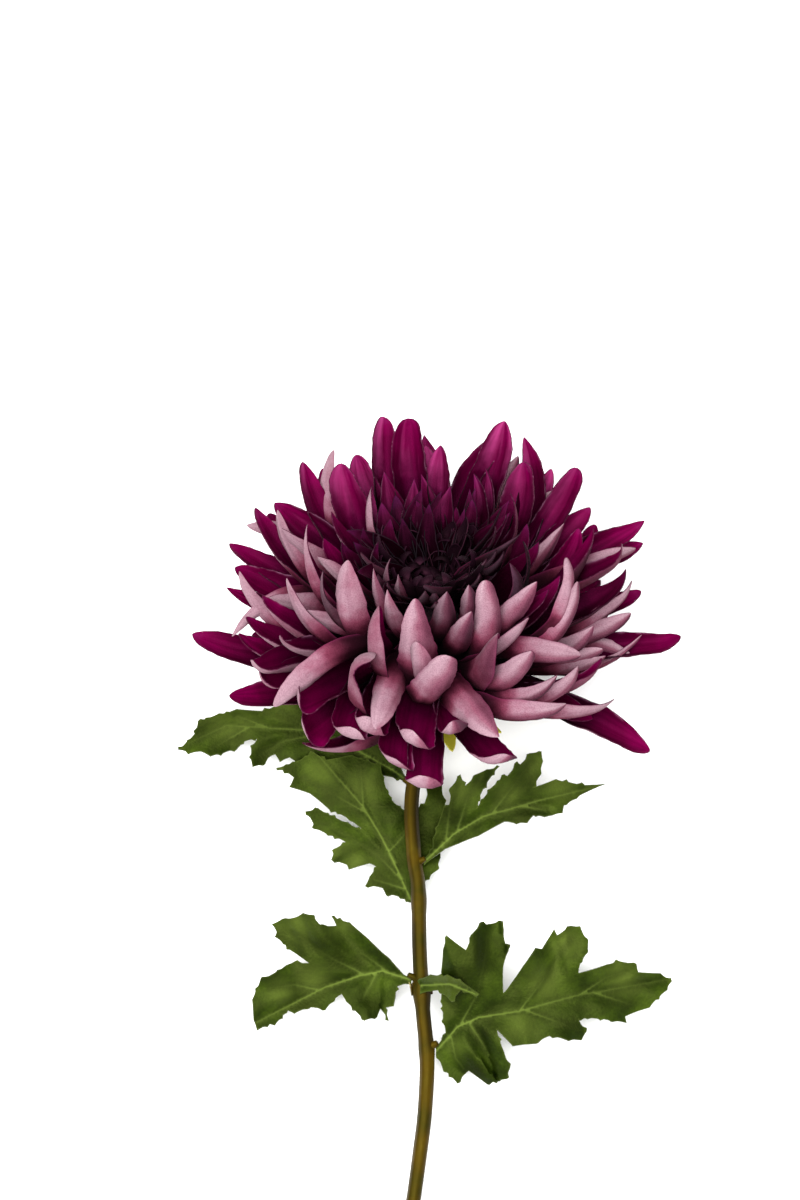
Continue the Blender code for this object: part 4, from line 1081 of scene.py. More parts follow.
def turnedPiece(name, profile, material):
    # a disc on the axis, extruded from height to height and scaled to each radius
    height, radius = profile[0]
    facing = bloomAxis.to_track_quat("Z", "Y").to_euler()
    at = (onAxis(height) + shift) * toMetres
    bpy.ops.mesh.primitive_circle_add(
        vertices=turnedShapes["sides"], radius=radius * toMetres, fill_type="NGON",
        location=at, rotation=facing,
    )
    piece = bpy.context.object
    piece.name = piece.data.name = name
    keepSelected(piece)
    bpy.ops.object.transform_apply(location=True, rotation=True, scale=True)
    bpy.ops.object.mode_set(mode="EDIT")
    bpy.ops.mesh.select_all(action="SELECT")
    for nextHeight, nextRadius in profile[1:]:
        step = bloomAxis * (nextHeight - height) * toMetres
        at = (onAxis(nextHeight) + shift) * toMetres
        bpy.ops.mesh.extrude_region_move(TRANSFORM_OT_translate={"value": step})
        bpy.ops.transform.resize(value=(nextRadius / radius,) * 3, center_override=at)
        height, radius = nextHeight, nextRadius
    bpy.ops.mesh.select_all(action="SELECT")
    bpy.ops.mesh.normals_make_consistent(inside=False)
    bpy.ops.object.mode_set(mode="OBJECT")
    piece.data.materials.append(material)
    return piece


def receptacleFoam():
    # dark foam core between the petals' roots, seen only as shade
    made, tree, _ = newMaterial("darkFoamCore")
    colour = addNode(tree, "ValToRGB", (grain(tree, 0.5),), stops=((0.3, "#0d0309"), (0.7, "#2a0818")))
    return finish(made, {"Base Color": colour, "Roughness": 0.95}, grain(tree, 0.8), 0.4)


def calyxPlastic():
    # moulded polyethylene, yellow-green, a little waxy
    made, tree, (along,) = newMaterial("mouldedCalyx", "along")
    place = addNode(tree, "Math", (grain(tree, 0.3), 0.3, along), operation="MULTIPLY_ADD")
    colour = addNode(tree, "ValToRGB", (place,), stops=((0.1, "#495613"), (0.6, "#8e8a1d"), (1.0, "#aca32b")))
    return finish(made, {"Base Color": colour, "Roughness": 0.5, "IOR": 1.5}, grain(tree, 1.2), 0.1)


sepalShape = dict(floretShape, rows=10, columns=6, thickness=0.6, rootShare=0.6, widest=0.45, unrolled=1.05)
sepalPlaces = {
    "count": 10, "start": -82, "lean": 114, "reach": 28.4, "width": 5.4, "middle": -11.0, "bend": 10,
}
sepalForm = {"cup": 26, "root": 3.0, "tipPower": 0.85}


def makeCalyx():
    plastic = calyxPlastic()
    blank = petalBlank("sepalBlank", sepalShape)
    base = onAxis(sepalPlaces["middle"])
    sepals = []
    for place in range(sepalPlaces["count"]):
        turn = sepalPlaces["start"] + 360 * place / sepalPlaces["count"]
        tip = base + bloomDirection(sepalPlaces["lean"], turn) * sepalPlaces["reach"]
        sepals.append(onePetal(tip, sepalPlaces["width"], sepalPlaces["bend"], base=base, **sepalForm))
    piece = clothPiece("calyxSepals", blank, sepals, sepalShape, (plastic,) * 3, seeds["sepals"])
    settle(piece, "calyx", 60)
    bpy.data.objects.remove(blank)
    settle(turnedPiece("calyxCup", turnedShapes["cup"], plastic), "calyx", 50)
    core = turnedPiece("receptacle", turnedShapes["receptacle"], receptacleFoam())
    settle(core, "bloom_petals", 50)


makeCalyx()


# Stem

def stemPlastic():
    # moulded polyethylene over a wire: olive with brown and yellow patches, drawn lines, semi-matt; painted
    # shadows darken one side in stretches
    made, tree, (paintedShadow,) = newMaterial("mouldedStem", "paintedShadow")
    where = addNode(tree, "TexCoord", (), "Object")
    drawn = addNode(tree, "Mapping", {"Vector": where, "Scale": (1.0, 0.08, 1.0)})
    lines = addNode(tree, "TexNoise", {"Vector": drawn, "Scale": 0.9 / toMetres, "Detail": 3.0})
    patches = addNode(tree, "ValToRGB", (grain(tree, 0.07, 4.0),), stops=(
        (0.3, "#1a1e02"), (0.45, "#2c2303"), (0.58, "#372903"), (0.72, "#3f3406"),
    ))
    lined = addNode(tree, "ValToRGB", (lines,), stops=((0.35, "#9a9276"), (0.65, "#ffffff")))
    # painted shadow on one side of some stretches
    colour = coats(tree, patches, (0.4, lined, "MULTIPLY"), (paintedShadow, "#0b0702", "MIX"))
    return finish(made, {
        "Base Color": colour, "Roughness": 0.45, "IOR": 1.5, "Specular IOR Level": 0.2,
        "Specular Tint": "#d0b850",
    }, lines, 0.08, 0.5)


def stemShade(centre, spoke):
    # how dark the painted shadows make the stem at a place on it
    level = levelOf(centre)
    ease = stemShape["shadeEase"]
    start, slope = stemShape["shadeRound"]
    darkest = 0.0
    for low, high, side, strength in stemShape["paintedShadows"]:
        within = smooth((level - low) / ease) * smooth((high - level) / ease)
        darkest = max(darkest, strength * within * smooth(start + slope * side * spoke.dot(planeRight)))
    return darkest


def makeStem(plastic):
    mesh = bmesh.new()
    paintedShadow = mesh.verts.layers.float.new("paintedShadow")
    lumpsAlong, lumpsAside = stemShape["lumps"]
    rings = []
    for centre, spokes in stemRings(stemShape["fineSpread"], stemShape["fineSides"]):
        radius = stemRadius(centre)
        ring = []
        for corner, spoke in enumerate(spokes):
            angle = math.tau * corner / len(spokes)
            drift = noise.noise(centre * lumpsAlong + spoke * lumpsAside)
            ridge = math.cos(angle * stemShape["ridges"] + centre.y * stemShape["ridgeTwist"])
            ridge = ridge * stemShape["ridgeHeight"]
            raised = ridge + drift * stemShape["unevenness"] - stemShape["ridgeHeight"]
            ring.append(mesh.verts.new((centre + spoke * (radius + raised) + shift) * toMetres))
            ring[-1][paintedShadow] = stemShade(centre, spoke)
        rings.append(ring)
    for near, far in zip(rings, rings[1:]):
        for corner in range(len(near)):
            following = (corner + 1) % len(near)
            mesh.faces.new((near[corner], near[following], far[following], far[corner]))
    mesh.faces.new(rings[0][::-1])
    mesh.faces.new(rings[-1])
    bmesh.ops.recalc_face_normals(mesh, faces=mesh.faces)
    data = bpy.data.meshes.new("stemSkin")
    mesh.to_mesh(data)
    mesh.free()
    data.materials.append(plastic)
    settle(pieceFrom("stemSkin", data), "stem", 50)


# Small growths on the stem: cut stubs as level, side (-1 left, 1 right), length and radius,
# and a dry torn sheath that goes part of the way round.
growths = {
    "stubs": ((-44.5, -1, 2.0, 1.0), (-69.0, 1, 2.2, 1.1), (-104.5, -1, 3.0, 1.1), (-124.5, 1, 2.2, 1.2)),
    "stubLean": (0.85, 0.45, 0.25),     # to its side, up and forwards
    "stubTaper": (1.15, 0.7),           # radius at the root and at the end against that given
    "stubSunk": (0.9, 0.3),             # place of its middle as shares of the stem's radius and its length
    "stubSides": 20,
    "stubEdge": 0.25,
    "sheath": {
        "level": -105.8,
        "height": 5.2,
        "turn": 210,        # degrees that it goes round
        "facing": 90,
        "stand": 0.45,      # mm that it stands off, and how much more at its edge
        "flare": 0.5,
        "sides": 0.35,      # how much lower its sides are
        "torn": (0.1, 9),   # share and wave of the torn edge
        "thickness": 0.25,
        "columns": 18,
        "rows": 6,
    },
}


def sheathPaper():
    # dry sheath, papery and matt: brown with a pale torn edge
    made, tree, (along,) = newMaterial("dryPaperySheath", "along")
    place = addNode(tree, "Math", (grain(tree, 0.8), 0.3, along), operation="MULTIPLY_ADD")
    colour = addNode(tree, "ValToRGB", (place,), stops=((0.3, "#362a07"), (0.8, "#544515"), (1.0, "#8a7e52")))
    sockets = {"Base Color": colour, "Roughness": 0.8, "Specular IOR Level": 0.1}
    return finish(made, sockets, grain(tree, 1.5), 0.15)


def stemAt(level):
    # middle of the stem at a level of the plane
    return min(stemLine(stemShape["searchSpread"]), key=lambda place: abs(levelOf(place) - level))


def makeStubs(plastic):
    right, up, forwards = growths["stubLean"]
    rootWidth, endWidth = growths["stubTaper"]
    off, sunk = growths["stubSunk"]
    pieces = []
    for level, side, length, radius in growths["stubs"]:
        centre = stemAt(level)
        out = (planeRight * side * right + planeUp * up + planeOut * forwards).normalized()
        at = centre + out * (stemRadius(centre) * off + length * sunk) + shift
        bpy.ops.mesh.primitive_cone_add(
            vertices=growths["stubSides"], radius1=radius * rootWidth * toMetres,
            radius2=radius * endWidth * toMetres, depth=length * toMetres,
            location=at * toMetres, rotation=out.to_track_quat("Z", "Y").to_euler(),
        )
        pieces.append(bpy.context.object)
    keepSelected(*pieces)
    bpy.ops.object.join()
    stubs = bpy.context.object
    stubs.name = stubs.data.name = "stemStubs"
    bpy.ops.object.transform_apply(location=True, rotation=True, scale=True)
    applyModifier(stubs, "BEVEL", width=growths["stubEdge"] * toMetres, segments=2)
    stubs.data.materials.append(plastic)
    settle(stubs, "stem", 50)


def makeSheath():
    sheath = growths["sheath"]
    level = sheath["level"]
    base = stemAt(level)
    ahead = (stemAt(level + 2) - stemAt(level - 2)).normalized()
    side = (planeRight - ahead * planeRight.dot(ahead)).normalized()
    third = side.cross(ahead)
    depth, wave = sheath["torn"]
    bpy.ops.mesh.primitive_grid_add(x_subdivisions=sheath["columns"], y_subdivisions=sheath["rows"], size=2)
    piece = bpy.context.object
    piece.name = piece.data.name = "stemSheath"
    along = piece.data.attributes.new("along", "FLOAT", "POINT")
    for vertex in piece.data.vertices:
        up = (vertex.co.y + 1) / 2
        along.data[vertex.index].value = up
        angle = math.radians(sheath["facing"] + vertex.co.x * sheath["turn"] / 2)
        torn = 1 - sheath["sides"] * abs(vertex.co.x) + depth * math.sin(vertex.co.x * wave)
        far = stemRadius(base) + sheath["stand"] + sheath["flare"] * up * up
        spoke = side * math.cos(angle) - third * math.sin(angle)
        place = base + ahead * sheath["height"] * (up * torn - 0.5) + spoke * far
        vertex.co = (place + shift) * toMetres
    applyModifier(piece, "SOLIDIFY", thickness=sheath["thickness"] * toMetres, offset=0)
    piece.data.materials.append(sheathPaper())
    settle(piece, "stem", 60)


stemSkinPlastic = stemPlastic()
makeStem(stemSkinPlastic)
makeStubs(stemSkinPlastic)
makeSheath()


leafShape = {
    "spacing": 0.8,         # mm between points of the blade
    "rowSpacing": 0.87,     # rows of a honeycomb lie closer
    "jitter": 0.12,
    "clearance": 0.6,       # shares of the spacing kept clear of lines, and of the border
    "borderClearance": 0.4,
    "toothLength": 2.3,
    "toothDepth": 0.7,
    "toothSteps": 5,
    "toothPoint": 1.3,      # higher is sharper
    "peakDraws": (0.55, 0.75),
    "depthDraws": (0.5, 1.3),
    "smoothFrom": 6.5,      # mm from where a stretch of the border is a fold or a notch, without teeth
    "hollow": 0.04,         # how far a stretch sags in between its ends, as a share of its length
    "hollowDraws": (0.6, 1.3),
    "smoothHollow": 0.3,
    "hollowFull": 0.8,
    "drop": 0.003,
    "waveLength": 17.0,
    "waveWidth": 14.0,
    "waveMost": 1.2,
    "waveTurn": 4,
    "thickness": 0.45,
    "veinWidth": 0.3,
    "veinHeight": 0.22,
    "ribFade": (1.15, 90, 0.3, 1),      # strength at the start, mm to fade by 1, least and most
    "veinFade": (0.8, 22, 0.2, 1),
    "quilt": 0.7,
    "quiltWidth": 3.0,
    "crinkle": 1.1,
    "crinkleSize": 9.0,
    "crinkleFrom": 3,       # mm from a vein where the crinkles are full
}

# Leaves: midrib as x, y, z in the plane, outline as x, y, veins as lines of x, y, the rise of the
# halves from the midrib, the height of the waves, and round patches of painted shade and painted
# sheen, as x, y and radius.
leaves = {
    "leaf_1": {
        "rib": (
            (-9.3, -43, -12.4), (-13, -40.5, -18.4), (-26.5, -33, -21), (-41, -28, -22),
            (-65, -26.5, -21.5), (-78, -32.5, -19),
        ),
        "outline": (
            (-9.25, -42.4), (-12, -37.5), (-17, -32), (-26.5, -25), (-35.5, -19.5), (-43, -18),
            (-49.5, -20), (-54, -22), (-62, -21.5), (-68, -23), (-74, -25), (-75, -29), (-77.5, -31.5),
            (-80, -34), (-76, -35), (-73, -34.5), (-70, -36), (-66, -35), (-62, -34), (-59.5, -31.5),
            (-55.5, -30.5), (-57.5, -33.5), (-57.5, -37), (-57, -39.5), (-53, -38.5), (-52, -36.5),
            (-50, -35.5), (-48.5, -38), (-45.5, -36.5), (-42, -39), (-35, -40), (-28, -39),
            (-22.5, -41.5), (-15.5, -42), (-9.3, -43.6),
        ),
        "veins": (
            ((-33, -30.8), (-41.9, -26.2), (-48, -22.1)), ((-38, -29.5), (-48, -31.6), (-55, -36)),
            ((-52, -27.3), (-62, -23.5)), ((-58, -27), (-70, -34)), ((-20, -36.6), (-30, -37.5)),
        ),
        "fold": 0.08,
        "wave": 1.0,
        "dark": ((-53, -35, 4), (-30, -36, 6), (-20, -34, 6)),
        "lit": ((-66, -27, 5), (-46, -22, 5), (-60, -26, 4)),
    },
    "leaf_2": {
        "rib": (
            (-6.5, -81, -7.3), (-8, -79.5, -8.8), (-12.5, -69.5, -11.5), (-17, -60.5, -13.2),
            (-22.5, -51.5, -14), (-36.5, -35.5, -15.5),
        ),
        "outline": (
            (-6, -82), (-11.5, -79), (-15.5, -78.5), (-16.5, -76.5), (-22, -76), (-20.5, -73),
            (-18.5, -70), (-20.5, -69), (-27, -71), (-27.5, -69.5), (-32.5, -68), (-31.5, -64.5),
            (-28, -62.5), (-34, -60), (-38.5, -58), (-38, -57), (-40.5, -53), (-36.5, -52), (-31, -55),
            (-26.5, -57), (-23, -58.5), (-27.5, -55), (-33, -52.5), (-39, -47.5), (-45.5, -45.5),
            (-44, -42.5), (-49.5, -39.5), (-43.5, -37.5), (-38, -34.5), (-34, -37), (-26, -35.5),
            (-20.5, -37.5), (-17, -38.5), (-16, -43.5), (-13.5, -49.5), (-10.5, -52), (-7.5, -53.5),
            (-3.5, -50.5), (-2, -45), (-0.5, -41.5), (2, -45), (3, -50.5), (1.5, -59.5), (1.5, -67),
            (0.5, -71), (-3, -74),
        ),
        "veins": (
            ((-22.4, -51.6), (-23.3, -38.1)), ((-21.2, -53.6), (-32.5, -47.3), (-40.8, -42.7)),
            ((-10.4, -74.2), (-17.2, -67.2), (-26.1, -61.4), (-31.9, -58.6)),
            ((-9.2, -76.8), (-19, -74)), ((-14.5, -65.5), (-5, -55)),
        ),
        "fold": -0.05,
        "wave": 0.6,
        "dark": ((1, -58, 7), (0, -47, 6), (-17, -74, 5), (-10, -68, 4)),
        "lit": ((-35, -40, 5), (-22, -45, 5), (-33, -64, 4), (-25, -68, 4)),
    },
    "leaf_3": {
        "rib": (
            (-3.7, -68.3, -6.5), (5.5, -59.5, -4.5), (14.5, -54, -3), (23.5, -51.5, -2.5), (32, -49, -3),
            (52, -44.5, -7),
        ),
        "outline": (
            (-3.7, -69.2), (-3.7, -67.2), (-1, -64), (-1, -61), (0.5, -57), (2.5, -50.5), (4, -50.5),
            (4.5, -45), (7.5, -41), (9, -44.5), (12.5, -41), (15.5, -39.5), (19.5, -38.5), (17, -41.5),
            (14.5, -45.5), (12.5, -51.5), (14.5, -48.5), (16.5, -45.5), (21, -41), (22, -41.5),
            (25, -37), (26, -38), (29, -34.5), (32.5, -34), (33, -37), (32, -41.5), (30, -45),
            (37, -42.5), (41, -43.5), (46, -44.5), (53, -44), (44.5, -47.5), (43.5, -48.5),
            (39.5, -50.5), (39, -53), (36, -53.5), (33.5, -54), (30, -53.5), (28, -56), (24, -56),
            (21, -55.5), (13, -60), (3, -64),
        ),
        "veins": (
            ((6.5, -58.6), (9.8, -47.9), (14, -42)), ((17, -53.4), (23, -45.5), (29.5, -37)),
            ((3, -62), (4.2, -52), (6.2, -44.5)), ((26, -50.7), (34, -52.2)),
        ),
        "fold": 0.14,
        "wave": 1.2,
        "dark": ((1, -62, 5), (3, -52, 4), (30, -53, 4)),
        "lit": ((8, -46, 4), (22, -47, 4), (38, -46, 5), (31, -38, 4)),
    },
    "leaf_4": {
        "rib": (
            (-7.6, -104, -0.3), (-16.5, -101.5, -2.5), (-23.5, -103, -3), (-34, -106.5, -3),
            (-45, -112, -2), (-55, -117, 0),
        ),
        "outline": (
            (-7.5, -104.8), (-7.5, -103.2), (-10, -102.5), (-14.5, -97.5), (-21, -91.5), (-26.5, -86.5),
            (-32, -84.5), (-30.5, -87.5), (-35.5, -87), (-38, -84), (-41, -83.5), (-42.5, -84.5),
            (-47.5, -85.5), (-50.5, -87), (-49, -89.5), (-49.5, -91), (-45, -95), (-39, -99),
            (-43.5, -98.5), (-46, -99.5), (-49, -101.5), (-54, -104), (-55.5, -107.5), (-56.5, -110),
            (-56, -116.5), (-55, -119.5), (-51, -117.5), (-49.5, -118), (-45.5, -113.5), (-43.5, -114.5),
            (-38.5, -112.5), (-34, -113.5), (-31, -110), (-29, -108.5), (-27.5, -111), (-25, -113.5),
            (-22, -116.5), (-18, -115.5), (-17, -113), (-14.5, -116.5), (-15.5, -112.5), (-13, -112),
            (-12.5, -109.5), (-12, -106),
        ),
        "veins": (
            ((-22, -102.6), (-32, -97.6), (-44, -89.5)), ((-18, -101.9), (-22.1, -109.3)),
            ((-36, -107.4), (-43.5, -105.7), (-51, -106.5)), ((-14, -102.3), (-22, -96.5), (-29.5, -90)),
        ),
        "fold": 0.14,
        "wave": 1.4,
        "dark": ((-36, -93, 5), (-30, -97, 5), (-24, -99, 4), (-20, -112, 5), (-40, -112, 5)),
        "lit": ((-43, -88, 5), (-30, -88, 3), (-38, -104, 5), (-48, -108, 4)),
    },
    "leaf_5": {
        "rib": (
            (0, -125.6, 3.4), (6.5, -118, 5), (13, -115, 6), (25.5, -113, 6.5), (42.5, -108.5, 5),
            (71, -104, -1),
        ),
        "outline": (
            (-0.1, -126.6), (-0.1, -124.4), (3, -120), (2, -115.5), (1.5, -109.5), (1.5, -101), (2, -94),
            (3, -89.5), (9, -94), (10.5, -89.5), (14.5, -85.5), (15.5, -86.5), (20, -85.5), (21, -92.5),
            (22.5, -92.5), (20.5, -99.5), (20.5, -107.5), (22.5, -105), (26.5, -99), (30.5, -93.5),
            (32.5, -94), (36, -88), (37, -90), (41, -87), (44, -87), (46.5, -92), (46.5, -95),
            (44, -98.5), (43.5, -101.5), (52.5, -99), (56, -98), (61.5, -99), (62, -101.5), (69, -102),
            (72.5, -104.5), (70.5, -107.5), (67.5, -110), (65.5, -112.5), (58, -115), (58.5, -117),
            (53, -116), (49.5, -115.5), (43.5, -115.5), (46, -119.5), (44.5, -122), (39.5, -121.5),
            (34.5, -120.5), (30.5, -123), (23.5, -123.5), (18.5, -118.5), (19.5, -122), (20.5, -125),
            (22.5, -130), (21.5, -133.5), (15.5, -135.5), (10, -131.5), (6.5, -135.5), (2, -131),
        ),
        "veins": (
            ((25.5, -112.9), (34.4, -101.3), (41.1, -91.2)),
            ((7.3, -117.5), (12.6, -107.5), (15, -96.4), (15.5, -89.5)),
            ((27, -112.7), (37.5, -116.5), (43.5, -119)), ((10, -116.6), (19, -130.5)),
            ((44, -108.2), (52, -103), (58, -101.5)), ((4.5, -120.5), (6, -127.5), (8.5, -131)),
            ((48, -107.5), (60, -111.5)),
        ),
        "fold": 0.12,
        "wave": 1.6,
        "dark": ((11, -96, 9), (6, -104, 6), (3, -112, 4), (12, -131, 5)),
        "lit": ((40, -92, 5), (33, -105, 6), (57, -103, 6), (25, -118, 5), (6, -124, 3)),
    },
    "leaf_6": {
        "rib": ((-4.5, -105.5, 2.6), (4, -104.5, 9.2), (13, -107.5, 15.2)),
        "outline": (
            (-5, -108), (-5, -103.5), (-2, -102), (4, -102), (7.5, -103.5), (13, -107), (12, -108),
            (7.5, -106), (4.5, -109.5), (0.5, -106.5), (-2, -107),
        ),
        "veins": (),
        "fold": 0.5,
        "wave": 0.0,
        "dark": (),
        "lit": ((4, -104, 6),),
    },
}


def toothedBorder(outline, chance):
    # the outline's points stand out, with a few small teeth on the hollow stretches between them
    stretches = list(zip(outline, outline[1:] + outline[:1]))
    area = sum(ax * by - bx * ay for (ax, ay), (bx, by) in stretches)
    border = []
    for (ax, ay), (bx, by) in stretches:
        run = Vector((bx - ax, by - ay))
        out = Vector((run.y, -run.x)).normalized() * math.copysign(1, area)
        bare = run.length > leafShape["smoothFrom"]
        teeth = 1 if bare else max(1, round(run.length / leafShape["toothLength"]))
        steps = max(leafShape["toothSteps"], round(run.length / teeth / leafShape["spacing"]))
        hollow = leafShape["smoothHollow"] if bare else chance.uniform(*leafShape["hollowDraws"])
        hollow = run.length * leafShape["hollow"] * hollow
        for tooth in range(teeth):
            peak = chance.uniform(*leafShape["peakDraws"])
            depth = 0.0
            if tooth and not bare:
                depth = leafShape["toothDepth"] * chance.uniform(*leafShape["depthDraws"])
            for step in range(steps):
                part = step / steps
                lift = min(part / peak, (1 - part) / (1 - peak)) ** leafShape["toothPoint"]
                share = (tooth + part) / teeth
                sag = hollow * math.sin(math.pi * share) ** leafShape["hollowFull"]
                border.append(tuple(Vector((ax, ay)) + run * share + out * (depth * lift - sag)))
    return border


def densify(points, spacing):
    # points along an open line
    dense = []
    for first, second in zip(points, points[1:]):
        run = Vector(second) - Vector(first)
        steps = max(1, round(run.length / spacing))
        dense += [tuple(Vector(first) + run * step / steps) for step in range(steps)]
    return dense + [tuple(points[-1])]


def lineDistance(points, line):
    # for each point: its distance from a line, how far along that is, the signed distance, the line's depth
    best = np.full(len(points), np.inf)
    walked, signed, depth = (np.zeros(len(points)) for _ in range(3))
    start = 0.0
    for first, second in zip(line, line[1:]):
        a, b = np.array(first[:2]), np.array(second[:2])
        run = b - a
        length = np.hypot(*run)
        off = points - a
        share = np.clip((off @ run) / length ** 2, 0, 1)
        away = off - share[:, None] * run
        distance = np.hypot(away[:, 0], away[:, 1])
        nearer = distance < best
        side = np.sign(run[0] * off[:, 1] - run[1] * off[:, 0])
        best[nearer] = distance[nearer]
        walked[nearer] = (start + length * share)[nearer]
        signed[nearer] = (side * distance)[nearer]
        if len(first) > 2:
            depth[nearer] = (first[2] + (second[2] - first[2]) * share)[nearer]
        start += length
    return best, walked, signed, depth


def fading(far, fade):
    strength, length, least, most = fade
    return np.clip(strength - far / length, least, most)


def leafSurface(leaf, points):
    # height of the blade over the plane as in the CAD, with raised veins and the blade quilted between them
    off, walked, signed, depth = lineDistance(points, leaf["rib"])
    swing = np.sin(math.tau * walked / leafShape["waveLength"] + np.tanh(signed / leafShape["waveTurn"]))
    wave = leaf["wave"] * swing * np.minimum(off / leafShape["waveWidth"], leafShape["waveMost"])
    height = depth + leaf["fold"] * off - leafShape["drop"] * off * off + wave
    vein = off.copy()
    strength = fading(walked, leafShape["ribFade"])
    for line in leaf["veins"]:
        distance, far, _, _ = lineDistance(points, line)
        nearer = distance < vein
        vein[nearer] = distance[nearer]
        strength[nearer] = fading(far, leafShape["veinFade"])[nearer]
    ridge = np.exp(-(vein / leafShape["veinWidth"]) ** 2) * strength
    puff = 1 - np.exp(-(vein / leafShape["quiltWidth"]) ** 2)
    size = leafShape["crinkleSize"]
    crinkle = np.array([noise.noise((x / size, y / size, depth[0])) for x, y in points])
    height += leafShape["crinkle"] * crinkle * np.minimum(vein / leafShape["crinkleFrom"], 1)
    return height + leafShape["veinHeight"] * ridge + leafShape["quilt"] * puff, ridge, vein


def insideLine(points, line):
    # which points lie inside a closed line
    inside = np.zeros(len(points), bool)
    for (ax, ay), (bx, by) in zip(line, line[1:] + line[:1]):
        if ay == by:
            continue
        crossed = (points[:, 1] >= min(ay, by)) & (points[:, 1] < max(ay, by))
        at = ax + (points[:, 1] - ay) * (bx - ax) / (by - ay)
        inside ^= crossed & (points[:, 0] < at)
    return inside


def meshSpots(border, lines, chance):
    # spots of a slightly uneven honeycomb inside the border, clear of it and of the lines
    step = leafShape["spacing"]
    closer, jitter = leafShape["rowSpacing"], leafShape["jitter"]
    corners = np.array(border)
    low, high = corners.min(0), corners.max(0)
    spots = []
    for row in range(int((high[1] - low[1]) / step / closer) + 1):
        for column in range(int((high[0] - low[0]) / step) + 1):
            x = low[0] + (column + 0.5 * (row % 2)) * step + chance.uniform(-jitter, jitter)
            spots.append((x, low[1] + row * step * closer + chance.uniform(-jitter, jitter)))
    spots = np.array(spots)
    clear = insideLine(spots, border)
    for line in [border + border[:1]] + lines:
        clear &= lineDistance(spots, line)[0] > step * leafShape["clearance"]
    return [Vector(spot) for spot in spots[clear]]


def patches(points, spots):
    # how strongly each point lies in one of a leaf's soft round patches
    strength = np.zeros(len(points))
    for x, y, radius in spots:
        strength = np.maximum(strength, np.exp(-((points - (x, y)) ** 2).sum(1) / radius ** 2))
    return strength


def leafBlade(leaf, chance):
    # a flat blade of triangles with edges along its border, midrib and veins
    spacing = leafShape["spacing"]
    border = toothedBorder(leaf["outline"], chance)
    closed = border + border[:1]
    lines = []
    for line in (leaf["rib"],) + leaf["veins"]:
        dense = densify([place[:2] for place in line], spacing)
        held = insideLine(np.array(dense), border)
        held &= lineDistance(np.array(dense), closed)[0] > spacing * leafShape["borderClearance"]
        lines.append([place for place, keep in zip(dense, held) if keep])
    places = [Vector(place) for place in border]
    edges = [(index, (index + 1) % len(border)) for index in range(len(border))]
    for line in lines:
        first = len(places)
        places += [Vector(place) for place in line]
        edges += [(first + index, first + index + 1) for index in range(len(line) - 1)]
    places += meshSpots(border, lines, chance)
    points, _, faces, *_ = geometry.delaunay_2d_cdt(places, edges, [], 0, 1e-5, False)
    flat = np.array([tuple(point) for point in points])
    centres = flat[np.array(faces)].mean(1)
    faces = [face for face, keep in zip(faces, insideLine(centres, border)) if keep]
    return flat, faces, lineDistance(flat, closed)[0]


def makeLeaf(name, leaf, materials, seed):
    flat, faces, edge = leafBlade(leaf, random.Random(seed))
    height, ridge, vein = leafSurface(leaf, flat)
    data = bpy.data.meshes.new(name)
    data.from_pydata([(planePoint(x, y, z) + shift) * toMetres for (x, y), z in zip(flat, height)], [], faces)
    carried = {"vein": ridge, "veinDistance": vein, "edge": edge}
    # patches of painted shade and painted sheen
    carried.update(dark=patches(flat, leaf["dark"]), lit=patches(flat, leaf["lit"]))
    for key, values in carried.items():
        data.attributes.new(key, "FLOAT", "POINT").data.foreach_set("value", values)
    data.update()
    if sum(face.normal.dot(planeOut) for face in data.polygons) < 0:
        data.flip_normals()
    for material in materials:
        data.materials.append(material)
    piece = pieceFrom(f"{name}Blade", data)
    applyModifier(
        piece, "SOLIDIFY", thickness=leafShape["thickness"] * toMetres, offset=-1,
        material_offset=1, material_offset_rim=0,
    )
    settle(piece, name, 60)


def leafCloth():
    # stiffened printed cloth with a thin waxy coat: dark olive green, fine pale veins, a broad soft gloss,
    # with painted shade and painted sheen in patches and painted shade beside the veins
    carried = ("vein", "veinDistance", "edge", "dark", "lit")
    made, tree, (vein, distance, edge, dark, lit) = newMaterial("waxedLeafCloth", *carried)
    green = addNode(tree, "ValToRGB", (grain(tree, 0.09, 4.0),), stops=(
        (0.32, "#091101"), (0.45, "#111c02"), (0.56, "#1d2a04"), (0.7, "#2c3a09"),
    ))
    fine = addNode(tree, "ValToRGB", (grain(tree, 1.1, 3.0),), stops=((0.35, "#a8b488"), (0.65, "#ffffff")))
    # painted shade and painted sheen from the leaf's patches
    dim = addNode(tree, "Math", (dark, 0.75), operation="MULTIPLY")
    sheen = addNode(tree, "Math", (lit, 0.45), operation="MULTIPLY")
    # painted shade in a thin band beside the veins
    paintedVeinShade = {"Value": distance, "From Min": 0.3, "From Max": 1.8, "To Min": 0.5, "To Max": 0.0}
    paintedVeinShade = addNode(tree, "MapRange", paintedVeinShade)
    thin = addNode(tree, "Math", (vein, 2.0), operation="POWER")
    thin = addNode(tree, "Math", (thin, 0.66), operation="MULTIPLY")
    rim = {"Value": edge, "From Min": 0.0, "From Max": 0.4, "To Min": 0.35, "To Max": 0.0}
    rim = addNode(tree, "MapRange", rim)
    colour = coats(
        tree, green, (0.55, fine, "MULTIPLY"), (dim, "#0b1101", "MIX"), (sheen, "#48541e", "MIX"),
        (paintedVeinShade, "#0c1302", "MIX"), (thin, "#5c6c2c", "MIX"), (rim, "#465022", "MIX"),
    )
    roughness = addNode(tree, "Math", (grain(tree, 0.15, 3.0), 0.35, 0.26), operation="MULTIPLY_ADD")
    return finish(made, {
        "Base Color": colour, "Roughness": roughness, "IOR": 1.45, "Specular IOR Level": 0.3,
        "Specular Tint": "#b4c860",
    }, grain(tree, 1.2, 5.0), 0.2, 0.9)


